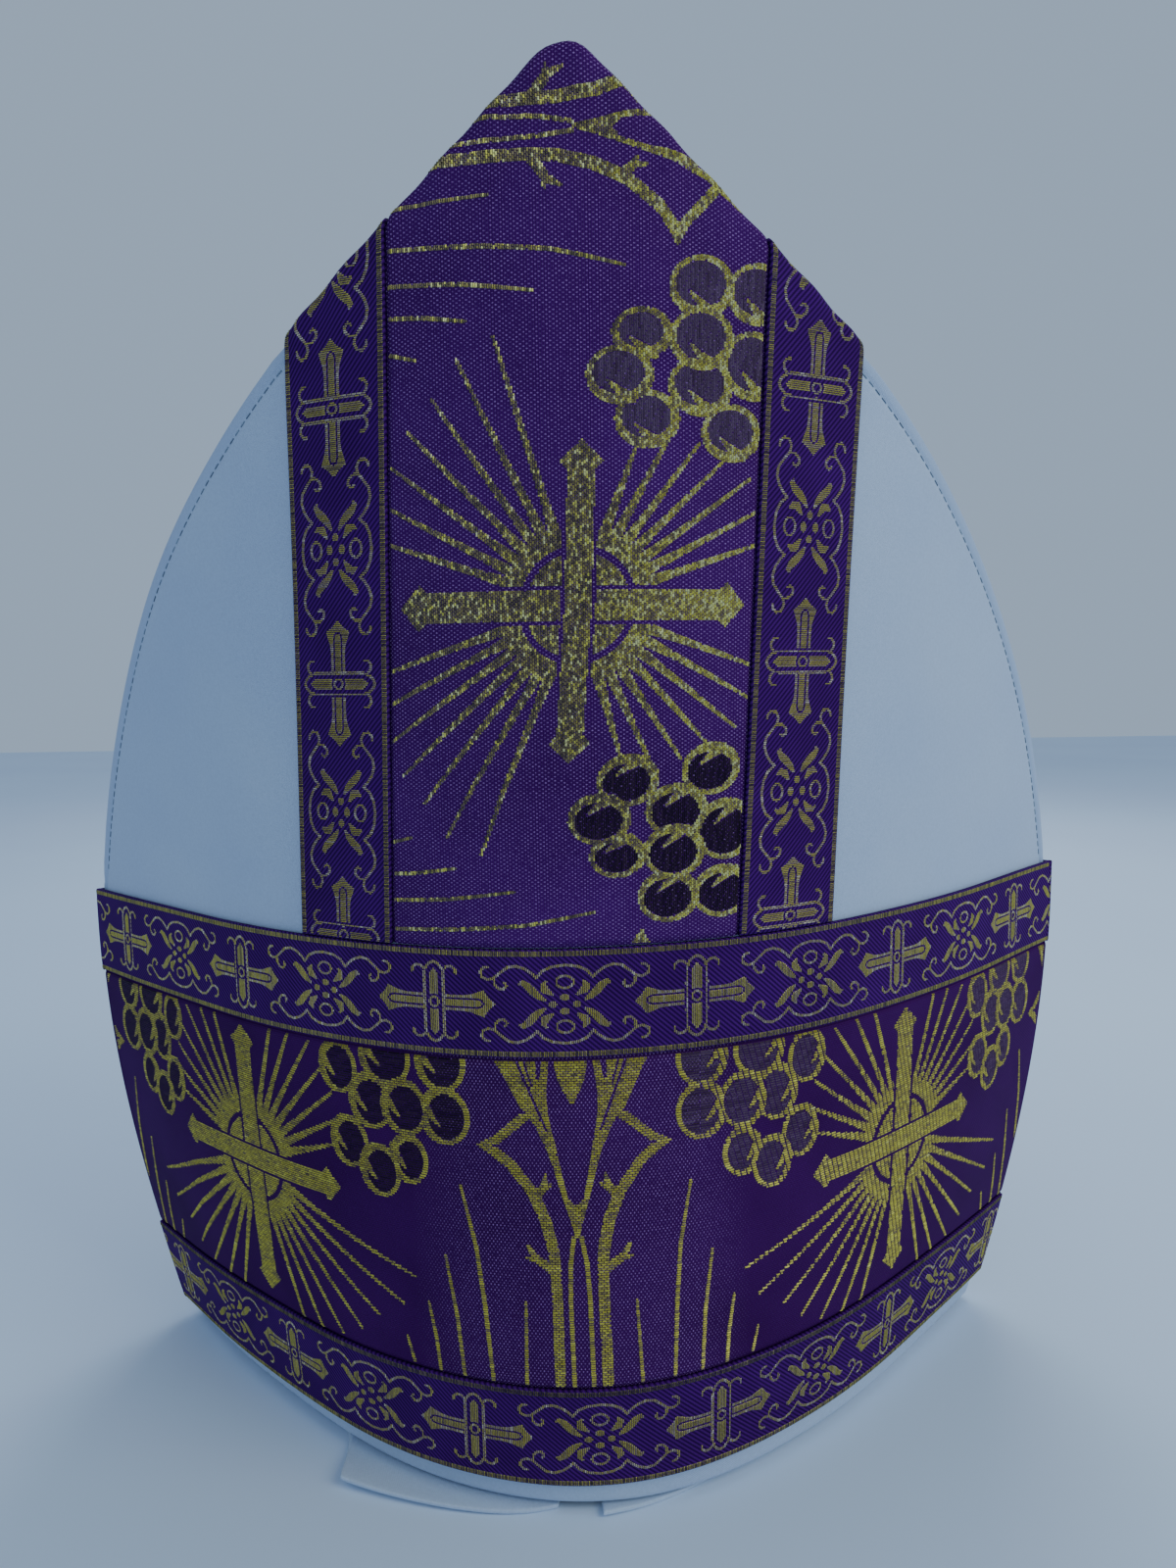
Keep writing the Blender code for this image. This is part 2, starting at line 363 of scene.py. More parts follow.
    def lay(self, s: Array, z: Array, out: Array | float, side: Side) -> Array:
        """The points of the mitre where the flat layout's points come to lie.

        Args:
            s: distances along the cloth from the middle line.
            z: heights.
            out: distances outside the shell.
            side: the shield.

        Returns:
            One row of x, y and z for each point.
        """
        s = np.asarray(s, float)
        z = np.asarray(z, float)
        row = np.clip(z / self.swell_height, 0.0, 1.0) * (self.swell_rows - 1)
        column = np.clip(np.abs(s) / self.longest_arc, 0.0, 1.0) * (self.arc_columns - 1)
        low = np.minimum(row.astype(int), self.swell_rows - 2)
        left = np.minimum(column.astype(int), self.arc_columns - 2)
        up = (row - low)[:, None]
        right = (column - left)[:, None]
        below = self.table[low, left] * (1 - right) + self.table[low, left + 1] * right
        above = self.table[low + 1, left] * (1 - right) + self.table[low + 1, left + 1] * right
        found = below * (1 - up) + above * up
        lean = self.lean * np.maximum(z - self.seam_top, 0.0) / (self.point_height - self.seam_top)
        out = out + self.relief(s, z)
        x = found[:, 0] + out * found[:, 2]
        y = found[:, 1] + out * found[:, 3] - lean
        return np.stack([np.copysign(x, s), -side.value * y, z], axis=-1)


SHELL = Shell()


def rounded(distance: Array, radius: float) -> Array:
    """How far a face falls at a distance from its edge, which is rounded to a radius."""
    left = np.clip(radius - distance, 0.0, radius)
    return radius - np.sqrt(radius**2 - left**2)


def smooth(share: Array) -> Array:
    """A soft step from 0 to 1."""
    share = np.clip(share, 0.0, 1.0)
    return share * share * (3 - 2 * share)


def spaced(count: int, ends: Sequence[float], length: float) -> Array:
    """Places from 0 to the length, close together at both ends.

    Args:
        count: how many even steps lie between the two ends' places.
        ends: the distances from each end, in growing order, from 0.
        length: the whole length.

    Returns:
        The places in growing order.
    """
    first = np.array(ends, float)
    middle = np.linspace(first[-1], length - first[-1], count + 1)[1:-1]
    return np.concatenate((first, middle, length - first[::-1]))


# --- Meshes ---


def add(name: str, data: bpy.types.ID) -> Object:
    """A new object in the scene.

    Args:
        name: its name.
        data: its mesh, lamp or camera.

    Returns:
        The object.
    """
    made = bpy.data.objects.new(name, data)
    bpy.context.scene.collection.objects.link(made)
    return made


def dress(name: str, mesh: bpy.types.Mesh, finish: "Finish") -> Object:
    """A new object for a finished mesh, riding on the mitre, in its finish's slot.

    Args:
        name: the piece's name.
        mesh: its mesh.
        finish: its finish.

    Returns:
        The object.
    """
    mesh.name = name
    mesh.materials.clear()
    mesh.materials.append(finish.material())
    piece = add(name, mesh)
    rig.ride(piece, "root")
    if finish.slot:
        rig.slot(piece, finish.slot)
    return piece


class Sheet:
    """A closed sheet of cloth that takes the place of one solid, a part of one of the shields."""

    finish: "Finish"
    side: Side
    part: str

    @property
    def node(self) -> str:
        """The solid's node."""
        return f"{self.side.word}_{self.part}"

    @property
    def name(self) -> str:
        """The sheet's own name."""
        return f"{self.node}_cloth"

    def grid(self) -> tuple[Array, Array]:
        """The places of the sheet's columns and of its rows."""
        raise NotImplementedError

    def place(self, column: Array, row: Array, outer: Array) -> Placed:
        """Points and their flat layout, for places in the grid and the face, 0 inner or 1 outer."""
        raise NotImplementedError

    def build(self) -> Object:
        """Makes the sheet, with its flat layout as its UV map, in metres.

        Returns:
            The object.
        """
        across, up = self.grid()
        mesh = bmesh.new()
        bmesh.ops.create_grid(mesh, x_segments=len(across) - 1, y_segments=len(up) - 1, size=0.5)
        face = [0.0] * len(mesh.verts)
        grown = bmesh.ops.extrude_face_region(mesh, geom=mesh.faces[:])
        face += [1.0] * sum(isinstance(item, bmesh.types.BMVert) for item in grown["geom"])
        flat = np.array([point.co[:2] for point in mesh.verts]) + 0.5
        columns = np.rint(flat[:, 0] * (len(across) - 1)).astype(int)
        rows = np.rint(flat[:, 1] * (len(up) - 1)).astype(int)
        points, layout = self.place(across[columns], up[rows], np.array(face))
        for point, target in zip(mesh.verts, points):
            point.co = target
        mesh.verts.index_update()
        bmesh.ops.recalc_face_normals(mesh, faces=mesh.faces[:])
        data = bpy.data.meshes.new(self.name)
        mesh.to_mesh(data)
        mesh.free()
        corners = np.empty(len(data.loops), dtype=np.int32)
        data.loops.foreach_get("vertex_index", corners)
        spots = layout[corners].astype(np.float32).ravel()
        data.uv_layers.new(name="layout").data.foreach_set("uv", spots)
        data.shade_smooth()
        piece = dress(self.name, data, self.finish)
        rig.replaces(piece, self.node)
        return piece


def add_number(mesh: bpy.types.Mesh, name: str, values: Array) -> None:
    """Keeps one number for each point of a mesh, for its material."""
    mesh.attributes.new(name, "FLOAT", "POINT").data.foreach_set("value", values.astype(np.float32))


class Threads:
    """Weaves threads: one small ridged shape is set on points, made real and bent onto the mitre."""

    def __init__(self) -> None:
        """Makes the shape of one thread and the node group that sets it."""
        self.shape = self.one_thread()
        self.group = self.setting_group()

    @staticmethod
    def one_thread() -> Object:
        """One thread as long, wide and high as 1, lying along x: a ridge with sloping ends.

        Returns:
            The object that every point repeats.
        """
        mesh = bmesh.new()
        bmesh.ops.create_cube(mesh, size=1.0)
        for point in mesh.verts:
            point.co.z += 0.5
            if point.co.z > 0.5:
                point.co.y = 0.0
                point.co.x *= 0.70
        bmesh.ops.remove_doubles(mesh, verts=mesh.verts[:], dist=1e-4)
        bmesh.ops.recalc_face_normals(mesh, faces=mesh.faces[:])
        data = bpy.data.meshes.new("one_thread")
        mesh.to_mesh(data)
        mesh.free()
        return add("one_thread", data)

    def setting_group(self) -> bpy.types.NodeTree:
        """The node group that sets the thread on points, with its size and turn, and makes it real.

        Returns:
            The group.
        """
        group = bpy.data.node_groups.new("set_threads", "GeometryNodeTree")
        for name, way in (("Points", "INPUT"), ("Threads", "OUTPUT")):
            group.interface.new_socket(name=name, in_out=way, socket_type="NodeSocketGeometry")
        new = group.nodes.new
        given, made = new("NodeGroupInput"), new("NodeGroupOutput")
        thread = new("GeometryNodeObjectInfo")
        thread.inputs["Object"].default_value = self.shape
        setting, real = new("GeometryNodeInstanceOnPoints"), new("GeometryNodeRealizeInstances")
        for name, socket in (("size", "Scale"), ("turn", "Rotation")):
            stored = new("GeometryNodeInputNamedAttribute")
            stored.data_type = "FLOAT_VECTOR"
            stored.inputs["Name"].default_value = name
            group.links.new(stored.outputs["Attribute"], setting.inputs[socket])
        group.links.new(given.outputs[0], setting.inputs["Points"])
        group.links.new(thread.outputs["Geometry"], setting.inputs["Instance"])
        group.links.new(setting.outputs["Instances"], real.inputs["Geometry"])
        group.links.new(real.outputs["Geometry"], made.inputs[0])
        return group

    def weave(
        self,
        name: str,
        middles: Array,
        sizes: Array,
        turns: Array | float,
        tints: Array,
        bend: Callable[[Array], Array],
        finish: "Finish",
    ) -> Object:
        """One piece of many threads.

        Args:
            name: the piece's name.
            middles: s and z of each thread's middle.
            sizes: length, width and height of each thread.
            turns: the angle of each thread, or of all, in the flat layout, from the direction of s.
            tints: a number from 0 to 1 for each thread, for its finish.
            bend: takes rows of s, z and height above the cloth, and gives points of the mitre.
            finish: its finish.

        Returns:
            The object.
        """
        count = len(middles)
        points = bpy.data.meshes.new("thread_points")
        points.vertices.add(count)
        spots = np.zeros((count, 3), np.float32)
        spots[:, :2] = middles
        points.vertices.foreach_set("co", spots.ravel())
        angles = np.zeros((count, 3), np.float32)
        angles[:, 2] = turns
        for word, values in (("size", sizes), ("turn", angles)):
            stored = points.attributes.new(word, "FLOAT_VECTOR", "POINT")
            stored.data.foreach_set("vector", np.asarray(values, np.float32).ravel())
        add_number(points, "tint", tints)
        holder = add("thread_points", points)
        setter = holder.modifiers.new("threads", "NODES")
        setter.node_group = self.group
        evaluated = holder.evaluated_get(bpy.context.evaluated_depsgraph_get())
        mesh = bpy.data.meshes.new_from_object(evaluated)
        bpy.data.objects.remove(holder)
        bpy.data.meshes.remove(points)
        flat = np.empty(len(mesh.vertices) * 3, np.float32)
        mesh.vertices.foreach_get("co", flat)
        placed = bend(flat.reshape(-1, 3).astype(float))
        mesh.vertices.foreach_set("co", placed.astype(np.float32).ravel())
        for spare in [a.name for a in mesh.attributes if a.name in ("size", "turn")]:
            mesh.attributes.remove(mesh.attributes[spare])
        mesh.shade_flat()
        mesh.update()
        return dress(name, mesh, finish)

    def put_away(self) -> None:
        """Removes the shape and the group once every thread is real."""
        bpy.data.objects.remove(self.shape)
        bpy.data.node_groups.remove(self.group)


# --- Finishes ---


class Desk:
    """A new material and the nodes that feed its shader."""

    def __init__(self, name: str) -> None:
        """Starts the material.

        Args:
            name: the material's name.
        """
        self.material = bpy.data.materials.new(name)
        self.material.use_nodes = True
        self.tree = self.material.node_tree
        self.shader = self.tree.nodes["Principled BSDF"]

    def node(self, kind: str) -> bpy.types.Node:
        """A new node of the material."""
        return self.tree.nodes.new(f"ShaderNode{kind}")

    def feed(self, socket: Socket, value: Value) -> None:
        """Links a socket's value, or sets it where the value is a plain number or colour."""
        if isinstance(value, Socket):
            self.tree.links.new(value, socket)
        elif isinstance(value, tuple) and len(value) == 3 and socket.type == "RGBA":
            socket.default_value = (*value, 1.0)
        else:
            socket.default_value = value

    def math(self, operation: str, *values: Value) -> Socket:
        """The result of a Math node for values in order.

        Args:
            operation: what it does.
            values: its inputs.

        Returns:
            Its result.
        """
        node = self.node("Math")
        node.operation = operation
        for socket, value in zip(node.inputs, values):
            self.feed(socket, value)
        return node.outputs[0]

    def layout(self) -> tuple[Socket, Socket]:
        """The two numbers of the cloth's flat layout, in metres.

        Returns:
            Across and along the cloth.
        """
        node = self.node("UVMap")
        node.uv_map = "layout"
        parts = self.node("SeparateXYZ")
        self.tree.links.new(node.outputs["UV"], parts.inputs[0])
        return parts.outputs[0], parts.outputs[1]

    def stored(self, name: str) -> Socket:
        """A number that the mesh keeps for each point.

        Args:
            name: the attribute's name.

        Returns:
            The number.
        """
        node = self.node("Attribute")
        node.attribute_name = name
        return node.outputs["Fac"]

    def noise(self, scale: float, detail: float) -> Socket:
        """Noise on the object's own coordinates, which are metres.

        Args:
            scale: its scale.
            detail: its detail.

        Returns:
            Its value.
        """
        where = self.node("TexCoord")
        node = self.node("TexNoise")
        node.inputs["Scale"].default_value = scale
        node.inputs["Detail"].default_value = detail
        self.tree.links.new(where.outputs["Object"], node.inputs["Vector"])
        return node.outputs["Fac"]

    def wave(self, place: Value, pitch: float) -> Socket:
        """A sine of a place with a pitch in metres, from -1 to 1."""
        return self.math("SINE", self.math("MULTIPLY", place, 2 * math.pi / pitch))

    def ramp(self, value: Value, stops: Sequence[tuple[float, Colour]]) -> Socket:
        """A colour ramp.

        Args:
            value: what it reads.
            stops: pairs of a place and a colour.

        Returns:
            Its colour.
        """
        node = self.node("ValToRGB")
        marks = node.color_ramp.elements
        while len(marks) < len(stops):
            marks.new(0.5)
        for mark, (place, colour) in zip(marks, stops):
            mark.position = place
            mark.color = (*colour, 1.0)
        self.feed(node.inputs[0], value)
        return node.outputs["Color"]

    def grey(
        self, value: Value, dark: float, light: float, ends: tuple[float, float] = (0.3, 0.7)
    ) -> Socket:
        """A ramp of a value from a dark to a light grey, between two ends."""
        return self.ramp(value, ((ends[0], (dark,) * 3), (ends[1], (light,) * 3)))

    def mix(self, share: Value, first: Value, second: Value, way: str = "MIX") -> Socket:
        """Two colours mixed.

        Args:
            share: the second colour's share.
            first: the first colour.
            second: the second colour.
            way: the blend.

        Returns:
            The mixed colour.
        """
        node = self.node("Mix")
        node.data_type = "RGBA"
        node.blend_type = way
        self.feed(node.inputs[0], share)
        self.feed(node.inputs[6], first)
        self.feed(node.inputs[7], second)
        return node.outputs[2]

    def shade(self, colour: Value, by: Value) -> Socket:
        """A colour multiplied by another."""
        return self.mix(1.0, colour, by, "MULTIPLY")

    def bump(self, height: Value, distance: float, strength: float) -> None:
        """Feeds the shader a bump.

        Args:
            height: the height, from 0 to 1.
            distance: how deep it is, in metres.
            strength: its strength.
        """
        node = self.node("Bump")
        node.inputs["Distance"].default_value = distance
        node.inputs["Strength"].default_value = strength
        self.feed(node.inputs["Height"], height)
        self.tree.links.new(node.outputs["Normal"], self.shader.inputs["Normal"])

    def paint(self, colour: Value, gloss: float = 0.5, **values: float) -> None:
        """Feeds the shader its colour, gloss and plain numbers.

        Args:
            colour: the base colour.
            gloss: the specular level.
            values: the numbers of other sockets, whose names have low lines for spaces.
        """
        self.feed(self.shader.inputs["Base Color"], colour)
        self.shader.inputs["Specular IOR Level"].default_value = gloss
        for name, value in values.items():
            self.shader.inputs[name.replace("_", " ").title()].default_value = value


@dataclass(frozen=True)
class Finish:
    """A finish and the slot it belongs to. It is made once and shared by the pieces that wear it."""

    name: str
    slot: str = ""

    def material(self) -> bpy.types.Material:
        """The finish's material, which is made at the first call.

        Returns:
            The material.
        """
        if self.name not in bpy.data.materials:
            self.dress(Desk(self.name))
        return bpy.data.materials[self.name]

    def dress(self, desk: Desk) -> None:
        """Builds the nodes of the material on the desk."""
        raise NotImplementedError


@dataclass(frozen=True)
class PlainWeave(Finish):
    """A matt plain-woven cloth; its edges carry painted shade where the cloth rolls over and is turned."""

    light: Colour = (0.53, 0.63, 0.79)
    dark: Colour = (0.49, 0.59, 0.77)
    # turned is the colour of the painted shade along the rolled edge.
    turned: Colour = (0.37, 0.47, 0.66)
    pitch: float = 0.00052
    turned_width: float = 0.0036
    turned_share: float = 0.55
    has_edge: bool = True

    def dress(self, desk: Desk) -> None:
        """Builds the weave, soft clouds of colour and the painted shade along the turned edge.

        Args:
            desk: the new material.
        """
        s, z = desk.layout()
        weave = desk.math("MULTIPLY", desk.wave(z, self.pitch), desk.wave(s, self.pitch))
        weave = desk.math("MULTIPLY_ADD", weave, 0.5, 0.5)
        colour = desk.ramp(desk.noise(22.0, 3.0), ((0.35, self.dark), (0.65, self.light)))
        colour = desk.shade(colour, desk.grey(desk.noise(1400.0, 2.0), 0.93, 1.0))
        colour = desk.shade(colour, desk.ramp(weave, ((0.0, (0.93, 0.94, 0.95)), (0.6, (1.0, 1.0, 1.0)))))
        # Painted shade of the rolled edge: darkest at the edge, fading out before the stitch line.
        if self.has_edge:
            place = desk.math("DIVIDE", desk.stored("edge_depth"), self.turned_width)
            stops = ((0.0, (1.0, 1.0, 1.0)), (0.80, (0.75, 0.75, 0.75)), (0.97, (0.0, 0.0, 0.0)))
            near = desk.math("MULTIPLY", desk.ramp(place, stops), self.turned_share)
            colour = desk.mix(near, colour, self.turned)
        desk.paint(colour, 0.25, roughness=0.82, sheen_weight=0.18, sheen_roughness=0.5)
        desk.bump(desk.math("MULTIPLY_ADD", desk.noise(2600.0, 1.0), 0.6, weave), 0.00008, 0.5)


@dataclass(frozen=True)
class VioletGround(Finish):
    """The brocade's satin ground, with fine pin dots of paler thread in staggered rows."""

    deep: Colour = (0.050, 0.0018, 0.098)
    bright: Colour = (0.076, 0.0040, 0.146)
    dot: Colour = (0.37, 0.18, 0.47)
    dot_across: float = 0.00088
    dot_up: float = 0.00132
    weft_pitch: float = 0.0005
    dotted: float = 1.0
    fade: float = 0.012

    def dress(self, desk: Desk) -> None:
        """Builds the satin, its weft lines, and the dots, which fade at a distance from the middle.

        Args:
            desk: the new material.
        """
        s, z = desk.layout()
        dots = desk.math("MULTIPLY", desk.wave(s, self.dot_across), desk.wave(z, self.dot_up))
        weft = desk.wave(z, self.weft_pitch)
        colour = desk.ramp(desk.noise(30.0, 3.0), ((0.3, self.deep), (0.7, self.bright)))
        shimmer = desk.grey(desk.noise(2400.0, 1.0), 0.05, 0.85)
        seen = desk.math("MULTIPLY", desk.math("GREATER_THAN", dots, 0.5), shimmer)
        strong = desk.math("MULTIPLY_ADD", desk.math("ABSOLUTE", s), -1 / self.fade, self.dotted / self.fade)
        strong = desk.math("MINIMUM", desk.math("MAXIMUM", strong, 0.05), 1.3)
        colour = desk.mix(desk.math("MULTIPLY", seen, strong), colour, self.dot)
        lines = desk.grey(desk.math("MULTIPLY_ADD", weft, 0.5, 0.5), 0.80, 1.0, (0.0, 0.7))
        desk.paint(desk.shade(colour, lines), 0.02, roughness=0.55)
        desk.bump(desk.math("MULTIPLY_ADD", dots, 0.4, weft), 0.00007, 0.55)


@dataclass(frozen=True)
class TwillGround(Finish):
    """The ribbon's ground: dark blue violet with fine slanting twill lines."""

    deep: Colour = (0.014, 0.0006, 0.040)
    bright: Colour = (0.094, 0.0070, 0.200)
    pitch: float = 0.0013
    slant: float = 1.1
    fine_pitch: float = 0.00042

    def dress(self, desk: Desk) -> None:
        """Builds the twill lines.

        Args:
            desk: the new material.
        """
        along, across = desk.layout()
        slanted = desk.math("ADD", along, desk.math("MULTIPLY", across, self.slant))
        lines = desk.wave(slanted, self.pitch)
        colour = desk.mix(desk.math("MULTIPLY_ADD", lines, 0.42, 0.5), self.deep, self.bright)
        colour = desk.shade(colour, desk.grey(desk.noise(60.0, 2.0), 0.85, 1.1))
        desk.paint(colour, 0.02, roughness=0.55)
        fine = desk.wave(along, self.fine_pitch)
        desk.bump(desk.math("MULTIPLY_ADD", fine, 0.35, lines), 0.00008, 0.6)


@dataclass(frozen=True)
class ThreadFinish(Finish):
    """Thread whose shade differs from float to float."""

    stops: tuple[tuple[float, Colour], ...] = ()
    metallic: float = 0.0
    roughness: float = 0.4
    gloss: float = 0.5

    def dress(self, desk: Desk) -> None:
        """Builds the shades from each thread's own number, and a fine grain of painted glints and shade over them.

        Args:
            desk: the new material.
        """
        colour = desk.ramp(desk.stored("tint"), self.stops)
        # Fine grain of painted glints and shade, for sparkle.
        colour = desk.shade(colour, desk.grey(desk.noise(3200.0, 1.0), 0.62, 1.18))
        desk.paint(colour, self.gloss, metallic=self.metallic, roughness=self.roughness)
        desk.bump(desk.noise(5200.0, 1.0), 0.00004, 0.5)


WHITE_CLOTH = PlainWeave("white_weave", "white_cloth")
# The lining is lighter than the horns' white cloth: painted light, so the turned-out slips in shade stay as bright as
# the table.
LINING_CLOTH = PlainWeave(
    "lining_cloth", "lining", (0.61, 0.71, 0.85), (0.57, 0.67, 0.83), pitch=0.0006, has_edge=False
)
PANEL_GROUND = VioletGround("panel_brocade_ground", "purple_brocade")
BAND_GROUND = VioletGround(
    "band_brocade_ground", "purple_brocade", (0.044, 0.002, 0.078), (0.064, 0.004, 0.112), dotted=0.041
)
RIBBON_GROUND = TwillGround("ribbon_ground", "galloon_ribbon")
GOLD_THREAD = ThreadFinish(
    "gold_thread",
    "purple_brocade",
    (
        (0.0, (0.060, 0.055, 0.030)),
        (0.25, (0.26, 0.205, 0.095)),
        (0.5, (0.60, 0.52, 0.060)),
        (0.75, (0.84, 0.78, 0.110)),
        # The top stop is a painted glint.
        (1.0, (1.0, 1.0, 0.48)),
    ),
    metallic=0.35,
    roughness=0.40,
)
RIBBON_THREAD = ThreadFinish(
    "ribbon_gold_thread",
    "galloon_ribbon",
    (
        (0.0, (0.06, 0.05, 0.025)),
        (0.35, (0.27, 0.22, 0.085)),
        (0.6, (0.55, 0.47, 0.070)),
        (0.82, (0.44, 0.35, 0.22)),
        # The top stop is a painted glint.
        (1.0, (0.90, 0.82, 0.55)),
    ),
    metallic=0.30,
    roughness=0.42,
)
GRAPE_THREAD = ThreadFinish(
    "grape_thread",
    "purple_brocade",
    ((0.0, (0.014, 0.006, 0.016)), (0.5, (0.048, 0.022, 0.044)), (1.0, (0.130, 0.075, 0.130))),
    roughness=0.6,
    gloss=0.1,
)
# The stitches are darker than the cloth they sew: painted shade of the stitch holes and the groove.
SHADED_SEWING_THREAD = ThreadFinish(
    "sewing_thread", stops=((0.0, (0.10, 0.14, 0.20)), (1.0, (0.36, 0.46, 0.56))), roughness=0.7
)


# --- Woven figures ---


class Knot(NamedTuple):
    """A point of a drawn line: along the threads, across them, and the line's width, in millimetres."""

    along: float
    across: float
    width: float


Line = tuple[Knot, ...]
Shape = tuple[tuple[float, float], ...]


def rows_of(kind: type[tuple], *rows: tuple[float | None, ...]) -> tuple:
    """Rows of numbers as named values of a kind."""
    return tuple(kind(*row) for row in rows)


def knots(*rows: tuple[float, float, float]) -> Line:
    """A drawn line from its rows of numbers."""
    return rows_of(Knot, *rows)


class Oval(NamedTuple):
    """An oval: its centre and half its size along and across the threads, in millimetres."""

    along: float
    across: float
    half_along: float
    half_across: float

    def grown(self, by: float) -> "Oval":
        """The oval made larger all round."""
        return Oval(self.along, self.across, self.half_along + by, self.half_across + by)


@dataclass
class Chart:
    """A figure as filled cells, in millimetres along the threads and across them."""

    low_along: float
    high_along: float
    low_across: float
    high_across: float
    cell: float = 0.10
    filled: Array = field(init=False)

    def __post_init__(self) -> None:
        """Starts with nothing filled."""
        columns = math.ceil((self.high_along - self.low_along) / self.cell)
        rows = math.ceil((self.high_across - self.low_across) / self.cell)
        self.filled = np.zeros((rows, columns), bool)

    def stretch(self, places: Sequence[float], reach: float, start: float, count: int) -> tuple[slice, Array]:
        """The cells along one direction that some places need.

        Args:
            places: the places.
            reach: how far past them the cells go.
            start: where the chart starts.
            count: how many cells it has.

        Returns:
            The slice of cells and the places of their middles.
        """
        first = int(np.clip((min(places) - reach - start) / self.cell - 1, 0, count))
        last = int(np.clip((max(places) + reach - start) / self.cell + 2, 0, count))
        return slice(first, last), start + (np.arange(first, last) + 0.5) * self.cell

    def window(
        self, alongs: Sequence[float], acrosses: Sequence[float], reach: float = 0.0
    ) -> tuple[Array, Array, Array]:
        """The cells in the box round some points.

        Args:
            alongs: where the points lie along.
            acrosses: where they lie across.
            reach: how far past them the box goes.

        Returns:
            A view of the cells, and where they lie along and across.
        """
        rows, columns = self.filled.shape
        columns, along = self.stretch(alongs, reach, self.low_along, columns)
        rows, across = self.stretch(acrosses, reach, self.low_across, rows)
        return self.filled[rows, columns], *np.meshgrid(along, across)

    def line(self, line: Sequence[Knot], fill: bool = True) -> None:
        """Fills or clears a line whose width may change along it."""
        for a, b in zip(line, line[1:]):
            reach = max(a.width, b.width) / 2
            cells, along, across = self.window((a.along, b.along), (a.across, b.across), reach)
            run = (b.along - a.along, b.across - a.across)
            length = max(run[0] ** 2 + run[1] ** 2, 1e-9)
            share = np.clip(((along - a.along) * run[0] + (across - a.across) * run[1]) / length, 0, 1)
            off = np.hypot(along - a.along - share * run[0], across - a.across - share * run[1])
            cells[off <= (a.width + (b.width - a.width) * share) / 2] = fill

    def oval(self, oval: Oval, fill: bool = True) -> None:
        """Fills or clears an oval.

        Args:
            oval: the oval.
            fill: whether to fill it.
        """
        middle_along, middle_across, half_along, half_across = oval
        alongs = (middle_along - half_along, middle_along + half_along)
        acrosses = (middle_across - half_across, middle_across + half_across)
        cells, along, across = self.window(alongs, acrosses)
        reach = np.hypot((along - middle_along) / half_along, (across - middle_across) / half_across)
        cells[reach <= 1.0] = fill

    def shape(self, corners: Sequence[tuple[float, float]], fill: bool = True) -> None:
        """Fills or clears a straight-sided shape, given by its corners in order.

        Args:
            corners: along and across.
            fill: whether to fill it.
        """
        cells, along, across = self.window(*zip(*corners))
        within = np.zeros(along.shape, bool)
        for (x0, y0), (x1, y1) in zip(corners, [*corners[1:], corners[0]]):
            if y0 != y1:
                crossing = x0 + (across - y0) * (x1 - x0) / (y1 - y0)
                within ^= ((y0 > across) != (y1 > across)) & (along < crossing)
        cells[within] = fill

    def at(self, along: Array, across: Array) -> Array:
        """Whether the chart is filled at each place; outside it nothing is.

        Args:
            along: places along the threads.
            across: places across them.

        Returns:
            True where filled.
        """
        rows, columns = self.filled.shape
        column = np.floor((along - self.low_along) / self.cell).astype(int)
        row = np.floor((across - self.low_across) / self.cell).astype(int)
        known = (column >= 0) & (column < columns) & (row >= 0) & (row < rows)
        return known & self.filled[np.clip(row, 0, rows - 1), np.clip(column, 0, columns - 1)]


